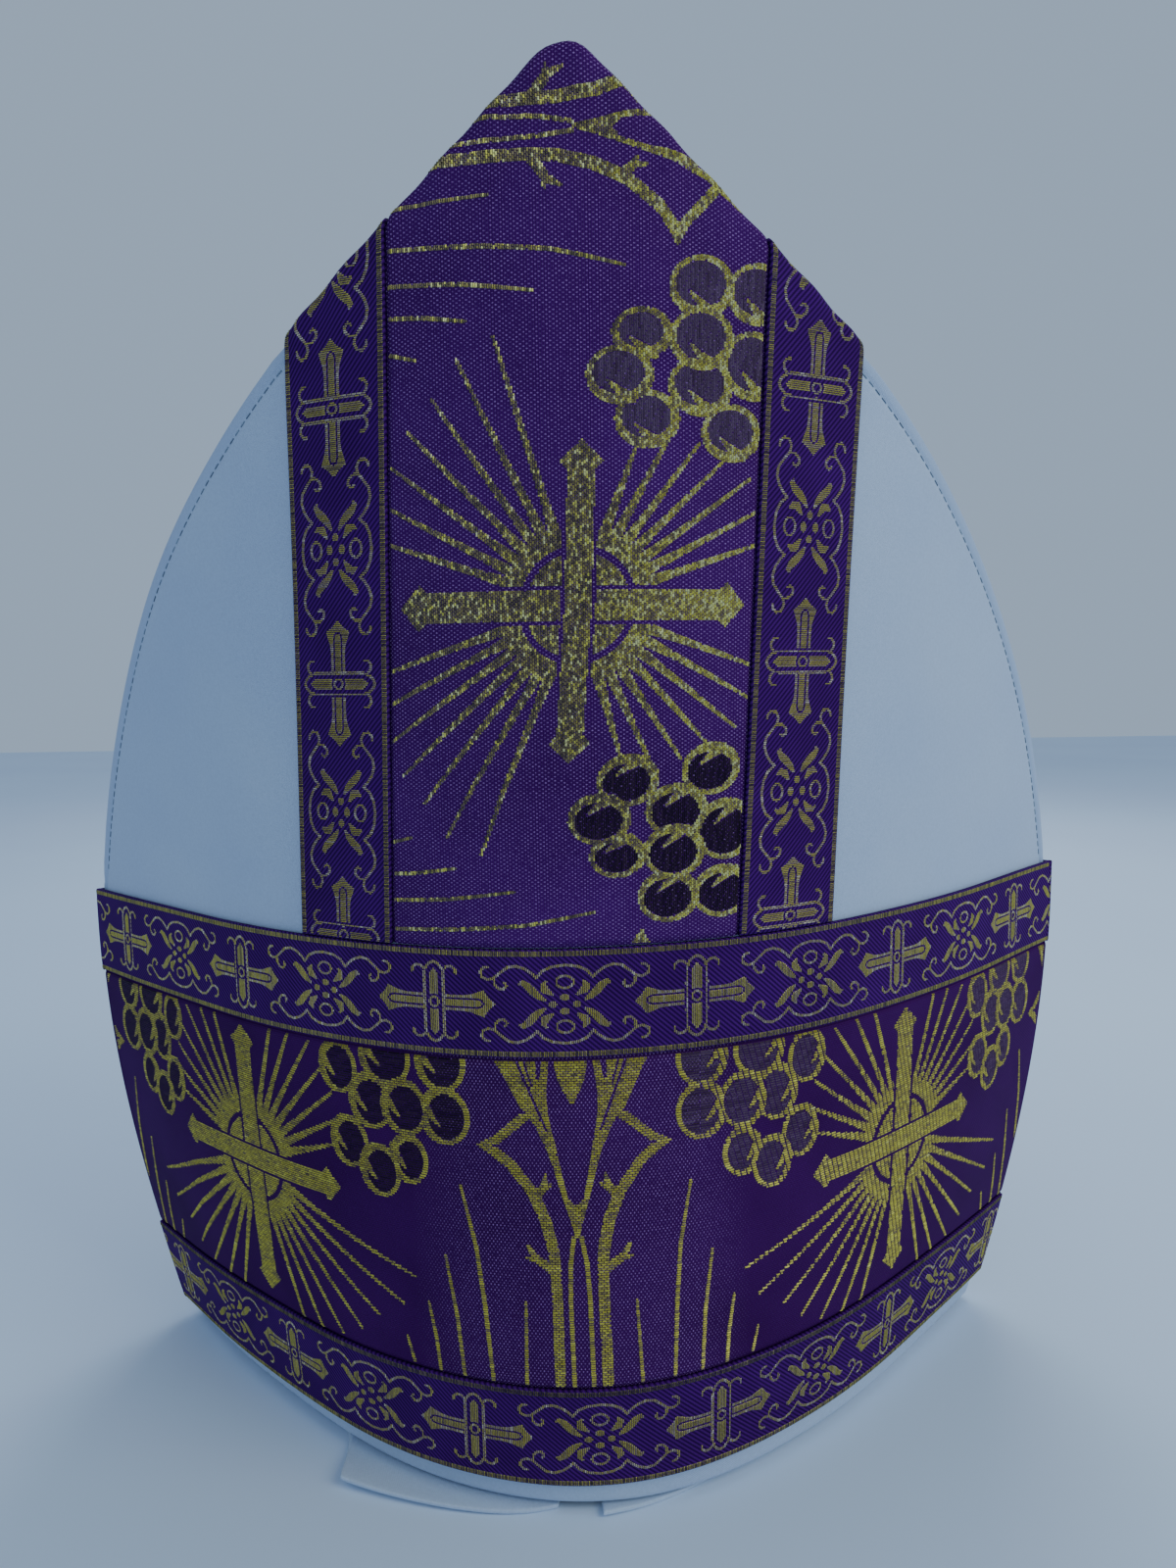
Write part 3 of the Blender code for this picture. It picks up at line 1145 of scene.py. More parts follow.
@dataclass(frozen=True)
class BrocadeFigure:
    """The brocade's figure, from the middle of a thorny stem to the middle of a cross with rays.

    Along runs from the stem to the cross, across runs up the stem from the height of the cross's middle. The
    figure is mirrored at both ends. All sizes are in millimetres.
    """

    half_repeat: float = 89.8
    low: float = -44.0
    high: float = 44.0
    level_half_width: float = 2.8
    upright_half_width: float = 3.15
    barb: float = 1.7
    neck: float = 6.0
    wing: float = 4.3
    arm_along: float = 32.7
    arm_up: float = 35.6
    arm_down: float = 37.8
    outline: float = 0.7
    ring_inside: float = 10.7
    ring_outside: float = 12.0
    first_ray: float = 19.0
    ray_step: float = 8.8
    ray_foot_width: float = 2.8
    ray_neck: float = 22.0
    ray_neck_width: float = 1.75
    ray_end_width: float = 0.75
    rays_down: tuple[float, ...] = (55.4, 55.0, 51.5, 50.5, 49.0, 48.0, 47.0)
    rays_up: tuple[float, ...] = (33.0, 39.5, 40.0, 41.0, 44.0, 44.0, 44.0)
    grapes: tuple[Oval, ...] = (
        Oval(28.0, 35.2, 6.1, 7.2), Oval(41.9, 35.2, 6.9, 7.3), Oval(55.3, 31.0, 5.8, 6.8),
        Oval(46.5, 23.8, 6.0, 7.0), Oval(53.3, 12.9, 5.7, 6.7), Oval(37.0, 11.2, 5.0, 6.2),
        Oval(27.6, 22.7, 6.0, 7.0), Oval(37.5, 23.6, 6.1, 7.0), Oval(45.0, 7.1, 5.7, 6.8),
    )
    stem: Line = knots(
        (4.9, -44.0, 2.4), (4.8, -13.0, 2.4), (5.1, -7.7, 2.5), (6.5, -0.4, 2.6), (9.0, 6.3, 2.6),
        (13.4, 12.7, 2.5), (16.6, 15.4, 2.4), (20.1, 16.8, 0.9),
    )
    stem_corner: Line = knots((19.6, 16.8, 1.0), (16.4, 17.9, 2.1), (10.2, 23.6, 2.2))
    thorns: tuple[Line, ...] = (
        knots((5.3, -12.4, 2.2), (9.2, -9.2, 1.9), (10.4, -6.6, 0.8)),
        knots((8.6, -9.8, 1.4), (10.9, -9.6, 0.6)),
        knots((8.2, 5.2, 2.0), (6.6, 7.4, 1.9), (6.1, 10.2, 0.6)),
        knots((6.6, 7.2, 1.7), (5.0, 8.0, 0.7)),
    )
    arm: Shape = (
        (-0.2, 2.8), (1.6, 4.8), (2.6, 10.1), (3.7, 17.3), (4.6, 21.5), (5.0, 25.0), (5.1, 29.0),
        (4.8, 32.5), (3.6, 43.0), (19.3, 43.0), (14.0, 33.0), (10.6, 25.5), (8.1, 22.1), (5.6, 16.0),
        (4.4, 11.5), (2.4, 3.3), (1.5, 0.0), (0.4, -4.6), (-0.2, -4.6),
    )
    arm_slits: tuple[Line, ...] = (
        knots((13.4, 43.0, 0.5), (11.2, 37.0, 0.5), (8.9, 30.3, 0.5), (5.4, 20.4, 0.4)),
        knots((10.9, 41.0, 0.4), (9.7, 36.8, 0.4), (8.2, 31.0, 0.3)),
        knots((6.5, 39.0, 1.6), (6.5, 37.0, 1.3), (6.7, 32.4, 0.3)),
    )
    pendant: Shape = (
        (-0.2, 27.0), (0.5, 27.0), (1.6, 29.2), (2.8, 32.2), (3.4, 35.6), (3.3, 40.0), (2.2, 44.0),
        (-0.2, 44.0),
    )
    thin_lines: tuple[Line, ...] = (
        knots((0.8, -4.5, 1.0), (1.7, -11.0, 1.0), (2.0, -20.0, 1.0), (2.0, -44.0, 1.0)),
        knots((24.6, 6.5, 0.7), (21.8, -8.0, 1.0), (20.6, -22.0, 1.1), (19.6, -41.0, 0.9)),
        knots((29.2, -11.0, 0.7), (27.2, -26.0, 1.0), (26.2, -41.5, 0.9)),
        knots((34.2, -24.0, 0.7), (32.8, -33.0, 1.0), (32.2, -41.0, 0.9)),
        knots((40.7, -34.2, 0.7), (39.2, -40.0, 0.9)),
        knots((11.5, -20.5, 0.7), (12.2, -41.0, 0.9)),
    )

    def fold(self, along: Array) -> Array:
        """Brings any place along the cloth into the half repeat."""
        return np.abs((along + self.half_repeat) % (2 * self.half_repeat) - self.half_repeat)

    def spear(self, half_width: float, plus: float, minus: float, grow: float) -> list[tuple[float, float]]:
        """An arm's outline with its two barbed ends, along and half its width, round its own middle.

        Args:
            half_width: half its width.
            plus: its reach one way.
            minus: its reach the other way.
            grow: how far the outline is pushed outwards.

        Returns:
            The corners in order.
        """
        half = half_width + grow
        barb = half + self.barb
        corners = []
        for sign, reach in ((1.0, plus), (-1.0, minus)):
            neck, wing = sign * (reach - self.neck), sign * (reach - self.wing)
            corners += [(neck, sign * half), (wing, sign * barb), (sign * (reach + 1.3 * grow), 0.0)]
            corners += [(wing, -sign * barb), (neck, -sign * half)]
        return corners

    @cached_property
    def charts(self) -> tuple[Chart, Chart]:
        """The gold figure, and the filling of the grapes.

        Returns:
            The two charts.
        """
        gold = Chart(-1.0, self.half_repeat + 40.0, self.low, self.high)
        grape = Chart(-1.0, self.half_repeat + 1.0, self.low, self.high)
        gold.shape(self.arm)
        for slit in self.arm_slits:
            gold.line(slit, False)
        for line in (self.stem, self.stem_corner, *self.thorns, *self.thin_lines):
            gold.line(line)
        gold.shape(self.pendant)
        self.draw_rays(gold)
        for whole in self.grapes:
            self.draw_grape(gold, grape, whole)
        self.draw_cross(gold)
        return gold, grape

    def draw_rays(self, gold: Chart) -> None:
        """Draws the rays of the left half of the cross."""
        for lengths, sign in ((self.rays_down, -1.0), (self.rays_up, 1.0)):
            for number, length in enumerate(lengths):
                angle = math.radians(self.first_ray + self.ray_step * number)
                along, across = -math.cos(angle), sign * math.sin(angle)
                middle = self.half_repeat
                knots = (
                    (self.ring_outside + 0.6, self.ray_foot_width),
                    (self.ray_neck, self.ray_neck_width),
                    (length, self.ray_end_width),
                )
                gold.line([Knot(middle + along * far, across * far, width) for far, width in knots])

    def draw_grape(self, gold: Chart, grape: Chart, whole: Oval) -> None:
        """Draws one grape in front of those drawn before: a ring that is thick towards the cross, a spur
        inside it, and its filling.

        Args:
            gold: the gold figure.
            grape: the grapes' filling.
            whole: the grape's outline.
        """
        along, across, half_along, half_across = whole
        hollow = Oval(along - 0.45, across - 0.3, half_along - 1.75, half_across - 1.7)
        gold.oval(whole)
        grape.oval(whole, False)
        gold.oval(hollow, False)
        grape.oval(hollow)
        spur = (
            Knot(along + 0.78 * half_along, across + 2.6, 2.0),
            Knot(along + 0.56 * half_along, across + 0.2, 1.9),
            Knot(along + 0.38 * half_along, across - 1.2, 1.3),
            Knot(along + 0.18 * half_along, across - 2.5, 0.5),
        )
        gold.line(spur)
        grape.line([Knot(*knot[:2], knot.width + 0.3) for knot in spur], False)

    def draw_cross(self, gold: Chart) -> None:
        """Draws the cross, in front of the ring and the rays: the arm along the threads lies on top.

        Args:
            gold: the chart to draw on.
        """
        middle = self.half_repeat
        gold.oval(Oval(middle, 0.0, self.ring_outside, self.ring_outside), False)
        gold.oval(Oval(middle, 0.0, self.ring_inside, self.ring_inside))
        layers = ((self.outline, False), (0.0, True))
        for grow, fill in layers:
            upright = self.spear(self.upright_half_width, self.arm_up, self.arm_down, grow)
            gold.shape([(middle + half, reach) for reach, half in upright], fill)
        for grow, fill in layers:
            level = self.spear(self.level_half_width, self.arm_along, self.arm_along, grow)
            gold.shape([(middle + reach, half) for reach, half in level], fill)


@dataclass(frozen=True)
class RibbonFigure:
    """The ribbon's figure, from the middle of a medallion to the middle of a cross, in millimetres.

    Along runs along the gold threads, which cross the ribbon, from its middle line. Across runs down the
    ribbon. The figure is mirrored in both.
    """

    half_repeat: float = 29.2
    half_width: float = 12.15
    edge_line: tuple[float, float] = (10.65, 11.85)
    lines: tuple[Line, ...] = (
        knots(
            (4.6, 9.7, 0.68), (4.9, 9.1, 1.2), (4.1, 8.0, 1.8), (2.9, 6.9, 1.9), (1.8, 5.7, 1.5),
            (1.0, 4.4, 0.68),
        ),
        knots((5.1, 4.1, 0.7), (4.2, 4.6, 1.5), (3.3, 4.3, 1.9), (2.2, 2.7, 0.68)),
        knots((5.9, 6.1, 0.62), (7.5, 4.8, 0.66), (8.4, 2.8, 0.66), (8.75, 0.0, 0.66)),
        knots(
            (5.9, 6.1, 0.62), (6.9, 7.0, 0.62), (8.0, 8.6, 0.66), (8.6, 10.5, 0.66), (8.3, 12.4, 0.66),
            (7.0, 14.1, 0.62), (5.8, 15.5, 0.62), (5.5, 16.8, 0.62), (6.1, 18.1, 0.62), (7.3, 18.4, 0.62),
            (8.2, 17.6, 0.62), (8.3, 16.7, 0.55),
        ),
        knots(
            (5.8, 15.4, 0.62), (4.5, 15.3, 0.62), (3.5, 14.4, 0.62), (3.4, 13.3, 0.62), (4.2, 12.7, 0.62),
            (4.9, 13.1, 0.55),
        ),
    )
    ovals: tuple[Oval, ...] = (Oval(0.0, 2.6, 0.8, 0.9), Oval(1.55, 0.0, 0.8, 1.1))
    eye: Oval = Oval(5.0, 0.0, 1.65, 2.15)
    eye_hollow: Oval = Oval(5.0, 0.0, 1.05, 1.6)
    arm: Shape = (
        (-0.1, 0.0), (1.85, 0.0), (1.8, 6.5), (2.0, 8.4), (3.1, 11.5), (1.4, 12.6), (0.0, 14.1),
        (-0.1, 14.1),
    )
    arm_slit: Line = knots((0.98, 0.0, 0.36), (0.98, 10.0, 0.36), (0.7, 11.0, 0.36), (0.0, 11.4, 0.36))
    loop: Line = knots(
        (9.1, 0.0, 0.68), (8.7, 1.0, 0.66), (7.7, 1.9, 0.66), (6.4, 2.3, 0.66), (3.0, 2.35, 0.66),
        (0.0, 2.3, 0.66),
    )
    loop_inside: Shape = ((-0.1, 2.8), (6.5, 2.8), (9.6, 0.3), (9.6, -0.1), (-0.1, -0.1))
    hook: Line = knots(
        (7.3, 2.2, 0.62), (8.1, 3.1, 0.62), (8.2, 4.2, 0.62), (7.5, 5.1, 0.62), (6.6, 5.2, 0.55),
    )
    lozenge: Shape = ((1.5, -1.1), (6.4, -1.1), (7.8, 0.0), (6.4, 1.1), (1.5, 1.1))
    stud: Oval = Oval(0.0, 0.0, 1.35, 1.3)
    stud_hollow: Oval = Oval(0.0, 0.0, 0.8, 0.75)

    def fold(self, across: Array) -> Array:
        """Brings any place down the ribbon into the half repeat."""
        return np.abs((across + self.half_repeat) % (2 * self.half_repeat) - self.half_repeat)

    @cached_property
    def chart(self) -> Chart:
        """The gold figure with its two edge lines.

        Returns:
            The chart of one repeat.
        """
        gold = Chart(-0.2, self.half_width, -0.2, self.half_repeat + 0.2, 0.05)
        for line in self.lines:
            gold.line(line)
        gold.oval(self.eye)
        gold.oval(self.eye_hollow, False)
        for oval in self.ovals:
            gold.oval(oval)
        end = self.half_repeat
        for shape, line, fill in ((self.arm, self.arm_slit, False), (self.loop_inside, self.loop, True)):
            gold.shape([(along, end - across) for along, across in shape], not fill)
            gold.line([knot._replace(across=end - knot.across) for knot in line], fill)
        gold.line([knot._replace(across=end - knot.across) for knot in self.hook])
        gold.shape([(along, end + across) for along, across in self.lozenge])
        gold.oval(self.stud._replace(across=end).grown(0.3), False)
        gold.oval(self.stud._replace(across=end))
        gold.oval(self.stud_hollow._replace(across=end), False)
        low, high = self.edge_line
        gold.shape(((low, -1.0), (high, -1.0), (high, end + 1.0), (low, end + 1.0)))
        return gold


BROCADE_FIGURE = BrocadeFigure()
RIBBON_FIGURE = RibbonFigure()


@dataclass(frozen=True)
class Floats:
    """How filled stretches of a chart's rows become threads; sizes in millimetres."""

    pitch: float = 0.57
    step: float = 0.10
    longest: float = 1.6
    stitch: float = 1.2
    shift: float = 0.6
    tie: float = 0.11
    shortest: float = 0.28
    height: float = 0.30
    fullness: float = 0.84
    uneven: tuple[float, float] = (0.85, 1.15)

    def cut(self, filled: Array) -> Array:
        """Cuts the filled stretches of each row into floats; a long stretch is tied down at every stitch.

        Args:
            filled: one row of cells for each thread.

        Returns:
            A row of thread number, start and end for each float, start and end in millimetres.
        """
        padded = np.pad(filled, ((0, 0), (1, 1))).astype(np.int8)
        change = np.diff(padded, axis=1)
        row, start = np.nonzero(change == 1)
        _, end = np.nonzero(change == -1)
        pieces = []
        for thread, a, b in zip(row, start * self.step, end * self.step):
            if b - a <= self.longest:
                pieces.append((thread, a, b))
                continue
            first = math.floor((a - thread * self.shift) / self.stitch) + 1
            ties = thread * self.shift + np.arange(first, first + (b - a) / self.stitch + 1) * self.stitch
            marks = [a, *[tie for tie in ties if a + self.shortest < tie < b - self.shortest], b]
            for low, high in zip(marks, marks[1:]):
                pieces.append((thread, low + self.tie / 2, high - self.tie / 2))
        found = np.array(pieces, float).reshape(-1, 3)
        return found[found[:, 2] - found[:, 1] >= self.shortest]

    def sizes(self, pieces: Array, random: np.random.Generator) -> Array:
        """The size of each float; no two are quite as high.

        Args:
            pieces: the rows that cut() gives.
            random: the source of chance.

        Returns:
            A row of length, width and height for each, in metres.
        """
        height = self.height * random.uniform(*self.uneven, len(pieces))
        width = np.full(len(pieces), self.pitch * self.fullness)
        return np.stack([pieces[:, 2] - pieces[:, 1], width, height], axis=-1) * MM


# --- The mitre's pieces ---


@dataclass(frozen=True)
class Layer:
    """A layer of cloth on the shell: where its faces lie, and how it rolls over a horn's edge."""

    seat: float
    top: float
    dipped_top: float = 0.00026
    dip: float = 0.0010

    def over(self, inside: Array) -> Array:
        """How far out the layer's outer face lies, at a distance inside the horn's edge.

        Args:
            inside: the distances.

        Returns:
            The distances out from the shell.
        """
        reach = SHELL.rim_radius + self.top
        beyond = np.clip(SHELL.rim_radius - inside, 0.0, reach)
        return -SHELL.rim_radius + np.sqrt(reach**2 - beyond**2)

    def dipping(self, beside: Array) -> Array:
        """How far out the face lies, at a distance from a side that dips under a ribbon."""
        return self.top - (self.top - self.dipped_top) * smooth(1.0 - beside / self.dip)


BROCADE_LAYER = Layer(0.00015, 0.00095)
RIBBON_LAYER = Layer(0.00030, 0.00140)
BROCADE_SEAT = BROCADE_LAYER.seat - 0.0001
BROCADE_ENDS = (0.0, 0.0012, 0.0016, 0.002, 0.0026, 0.0034)
SEAM_ENDS = (0.0, 0.003, 0.008)
TILT = 0.0115
SUNK = 0.00003
CUT_MARGIN = 0.0003


class Kind(NamedTuple):
    """A kind of thread in the brocade: its chart, the word for it, its finish and its floats."""

    chart: Chart
    word: str
    finish: Finish
    floats: Floats


def brocade_kinds(gold: Floats) -> tuple[Kind, Kind]:
    """The brocade's two kinds of thread, for the gold's way of floating.

    Args:
        gold: how the gold floats.

    Returns:
        The gold and the grapes' filling.
    """
    filling = Floats(0.5, longest=3.6, stitch=3.2, shift=0.9, tie=0.05, height=0.15, fullness=1.0)
    figure, grapes = BROCADE_FIGURE.charts
    return Kind(figure, "gold", GOLD_THREAD, gold), Kind(grapes, "grapes", GRAPE_THREAD, filling)


def near(middle: float | Array, random: np.random.Generator, count: int) -> Array:
    """A shade for each thread, by chance but near a middle one."""
    return np.clip(middle + random.normal(0.0, 0.10, count), 0.0, 1.0)


@dataclass
class Horn(Sheet):
    """A shield of stiffened white cloth with a turned and stitched edge."""

    finish = WHITE_CLOTH
    part = "horn"
    side: Side
    roll: float = 0.00018
    groove: float = 0.00034
    groove_place: float = 0.0036
    groove_width: float = 0.00055
    stitch_size: tuple[float, float, float] = (0.0019, 0.00042, 0.00030)
    stitch_pitch: float = 0.0026
    stitch_sink: float = 0.00006
    stitch_ends: tuple[float, float] = (0.001, 0.004)
    stitch_first: float = 0.002
    stitch_seed: int = 11
    seam_sink: float = 0.0009
    seam_reach: float = 0.0012
    body_rows: int = 58
    columns: int = 96
    seam_ends: tuple[float, ...] = (0.0, 0.0012, 0.003, 0.006, 0.010, 0.016)
    hem_ends: tuple[float, ...] = (0.0, 0.0001, 0.0004, 0.0008, 0.0013, 0.0020, 0.0032)
    edge_depths: tuple[float, ...] = (
        0.0105, 0.0085, 0.0070, 0.0058, 0.0050, 0.0045, 0.0041, 0.0038, 0.0035, 0.0032, 0.0028, 0.0022,
        0.0016, 0.0011, 0.0007, 0.0004, 0.00015, 0.0,
    )
    depths: Array = field(init=False)

    def face(self, inside: Array, above: Array, beside: Array) -> Array:
        """How far the outer face stands off the smooth shell.

        Args:
            inside: the distance from the horn's edge.
            above: the distance from the hem.
            beside: the distance from the side seam.

        Returns:
            The difference, outwards.
        """
        seam = self.seam_sink * np.exp(-((beside / self.seam_reach) ** 2))
        roll = self.roll * np.sin(np.clip(inside / self.groove_place, 0.0, 1.0) * math.pi)
        groove = self.groove * np.exp(-(((inside - self.groove_place) / self.groove_width) ** 2))
        return roll - groove - seam - SHELL.rim(inside, above)

    def grid(self) -> tuple[Array, Array]:
        """The places of the columns, from seam to seam, and the numbers of the rows."""
        rows = len(self.hem_ends) + self.body_rows + len(self.edge_depths)
        return spaced(self.columns, self.seam_ends, 2.0) - 1.0, np.arange(rows, dtype=float)

    def place(self, column: Array, row: Array, outer: Array) -> Placed:
        """Lays the rows along the hem, up the body and along the edge.

        Args:
            column: the shares of the way to the right seam.
            row: the rows' numbers.
            outer: 0 for the inner or 1 for the outer face.

        Returns:
            The points and their flat layout.
        """
        hem_rows = len(self.hem_ends)
        edge = SHELL.edge_height(column * SHELL.seam_end)
        lean = SHELL.edge_lean(column * SHELL.seam_end)
        low = SHELL.hem_height + np.interp(row, np.arange(hem_rows), self.hem_ends)
        first = SHELL.hem_height + self.hem_ends[-1]
        last = edge - self.edge_depths[0] / lean
        rise = (row - (hem_rows - 1)) / (self.body_rows + 1)
        z = np.where(rise <= 0.0, low, first + (last - first) * np.clip(rise, 0.0, 1.0))
        number = row - (hem_rows + self.body_rows)
        depth = np.interp(number, np.arange(len(self.edge_depths)), self.edge_depths)
        z = np.where(number >= 0.0, edge - depth / lean, z)
        seam = np.where(outer > 0.5, SHELL.seam_arc(z, 0.0), SHELL.seam_arc(z, -SHELL.wall))
        s = column * seam
        self.depths = (edge - z) * lean
        above = z - SHELL.hem_height
        face = self.face(self.depths, above, (1.0 - np.abs(column)) * seam)
        out = np.where(outer > 0.5, face, -SHELL.wall + SHELL.rim(self.depths, above))
        return SHELL.lay(s, z, out, self.side), np.stack([s, z], axis=-1)

    def build(self) -> Object:
        """Makes the shield, which keeps each point's distance from its edge.

        Returns:
            The object.
        """
        piece = super().build()
        add_number(piece.data, "edge_depth", self.depths)
        return piece

    def bend(self, flat: Array) -> Array:
        """Lays rows of s, z and height above the cloth on the outer face.

        Args:
            flat: the rows.

        Returns:
            The points in the mitre's frame.
        """
        far = np.full(len(flat), 1.0)
        ground = self.face(SHELL.inside(flat[:, 0], flat[:, 1]), far, far)
        return SHELL.lay(flat[:, 0], flat[:, 1], ground - self.stitch_sink + flat[:, 2], self.side)

    def stitches(self, threads: Threads) -> Object:
        """Sews the line of stitches inside the cheeks' edges.

        Args:
            threads: what weaves them.

        Returns:
            The object.
        """
        above, below = self.stitch_ends
        s = np.linspace(SHELL.shoulder_arc - above, SHELL.seam_end - below, 900)
        z = SHELL.edge_height(s) - self.groove_place / SHELL.edge_lean(s)
        length = np.concatenate(([0.0], np.cumsum(np.hypot(np.diff(s), np.diff(z)))))
        places = np.arange(self.stitch_first, length[-1], self.stitch_pitch)
        right = np.stack([np.interp(places, length, s), np.interp(places, length, z)], axis=-1)
        angle = np.interp(places, length, np.arctan2(np.gradient(z), np.gradient(s)))
        middles = np.concatenate((right, right * (-1.0, 1.0)))
        count = len(middles)
        turns = np.concatenate((angle, math.pi - angle))
        # Low tints keep the stitches dark: painted shade of the stitch holes and the groove.
        tints = np.random.default_rng(self.stitch_seed).uniform(0.0, 0.6, count)
        sizes = np.tile(self.stitch_size, (count, 1))
        name = f"{self.side.word}_edge_stitches"
        return threads.weave(name, middles, sizes, turns, tints, self.bend, SHADED_SEWING_THREAD)


@dataclass
class BrocadeBand(Sheet):
    """The brocade of the band round the head, with its woven figure."""

    finish = BAND_GROUND
    part = "band_brocade"
    side: Side
    foot: float = 0.0323
    head: float = 0.1107
    tuck: float = 0.0012
    cross_height: float = 0.0737
    skew: float = -0.025
    turning: float = 27.0
    slant: float = -0.17
    slant_stitch: float = 1.5
    slant_tie: float = 2.4
    cut_margin: float = 0.3
    seam_margin: float = 0.4
    gold_shades: tuple[float, float] = (0.40, 0.16)
    grape_shades: tuple[float, float] = (0.15, 0.65)
    grape_turn: tuple[float, float] = (-20.0, 60.0)
    thin: float = 0.6
    seed: int = 3
    columns: int = 112
    rows: int = 40
    moved: tuple[tuple[float, float], ...] = (
        (-150.0, 0.5), (-135.0, 0.3), (-122.0, -2.5), (-90.0, -2.7), (-55.0, -3.5), (-30.0, -3.0),
        (-14.0, -2.0), (0.0, -1.15), (10.0, -0.1), (28.0, 0.4), (38.0, 1.1), (50.0, 0.8), (64.0, 0.35),
        (90.0, 0.5), (122.0, 0.0), (150.0, -1.0),
    )

    def stray(self, s: Array, q: Array) -> Array:
        """How far to the right the figure lies at s and a height above the cross's middle, in millimetres."""
        places, moves = zip(*self.moved)
        return np.interp(s, places, moves) + self.skew * q

    def grid(self) -> tuple[Array, Array]:
        """The places of the columns, from seam to seam, and the rows' heights above the foot."""
        up = spaced(self.rows, BROCADE_ENDS, self.head - self.foot + 2 * self.tuck) - self.tuck
        return spaced(self.columns, SEAM_ENDS, 2.0) - 1.0, up

    def lay(self, s: Array, z: Array, out: Array) -> Array:
        """The points of the mitre for s, z on the middle line and distances outside the shell."""
        return SHELL.lay(s, z + TILT * s, out, self.side)

    def face(self, above: Array) -> Array:
        """How far out the face lies at a height above the foot."""
        return BROCADE_LAYER.dipping(np.minimum(above, self.head - self.foot - above))

    def place(self, column: Array, row: Array, outer: Array) -> Placed:
        """Lays the cloth round the head.

        Args:
            column: the shares of the way to the right seam.
            row: the heights above the foot.
            outer: 0 for the inner or 1 for the outer face.

        Returns:
            The points and their flat layout.
        """
        z = self.foot + row
        s = column * SHELL.seam_arc(z, BROCADE_LAYER.top)
        out = np.where(outer > 0.5, self.face(row), BROCADE_SEAT)
        return self.lay(s, z, out), np.stack([s, z], axis=-1)

    def bend(self, flat: Array) -> Array:
        """Lays rows of s, z and height above the cloth on the outer face."""
        out = self.face(flat[:, 1] - self.foot) - SUNK + flat[:, 2]
        return self.lay(flat[:, 0], flat[:, 1], out)

    def figure(self, threads: Threads) -> list[Object]:
        """Weaves the gold figure and the grapes; right of the turning, the stitches slant.

        Args:
            threads: what weaves them.

        Returns:
            The gold and the grapes.
        """
        weave = Floats()
        seam = float(SHELL.seam_arc(np.array([self.head]), 0.0)[0]) / MM
        low = (self.foot - self.cross_height) / MM + self.cut_margin
        high = (self.head - self.cross_height) / MM - self.cut_margin
        rows = np.arange(low + weave.pitch / 2, high, weave.pitch)
        s_grid, q_grid = np.meshgrid(np.arange(-seam, seam, weave.step), rows)
        along = BROCADE_FIGURE.fold(s_grid - self.stray(s_grid, q_grid))
        limit = SHELL.seam_arc(self.cross_height + q_grid * MM, 0.0) / MM - self.seam_margin
        on_cloth = np.abs(s_grid) < limit
        on_right = s_grid > self.turning
        made = []
        for chart, word, finish, cut in brocade_kinds(weave):
            filled = chart.at(along, q_grid) & on_cloth
            slanted = replace(cut, shift=self.slant, stitch=self.slant_stitch, tie=self.slant_tie * cut.tie)
            pieces = np.concatenate((cut.cut(filled & ~on_right), slanted.cut(filled & on_right)))
            s = (pieces[:, 1] + pieces[:, 2]) / 2 - seam
            z = rows[pieces[:, 0].astype(int)] * MM + self.cross_height
            random = np.random.default_rng(self.seed)
            sizes = cut.sizes(pieces, random)
            (least, more), share = self.grape_shades, (s - self.grape_turn[0]) / self.grape_turn[1]
            if word == "gold":
                (least, more), share = self.gold_shades, pieces[:, 2] - pieces[:, 1] - self.thin
            shade = least + more * smooth(share)
            tints = near(shade, random, len(pieces))
            middles = np.stack([s * MM, z], axis=-1)
            name = f"{self.side.word}_band_{word}"
            made.append(threads.weave(name, middles, sizes, 0.0, tints, self.bend, finish))
        return made


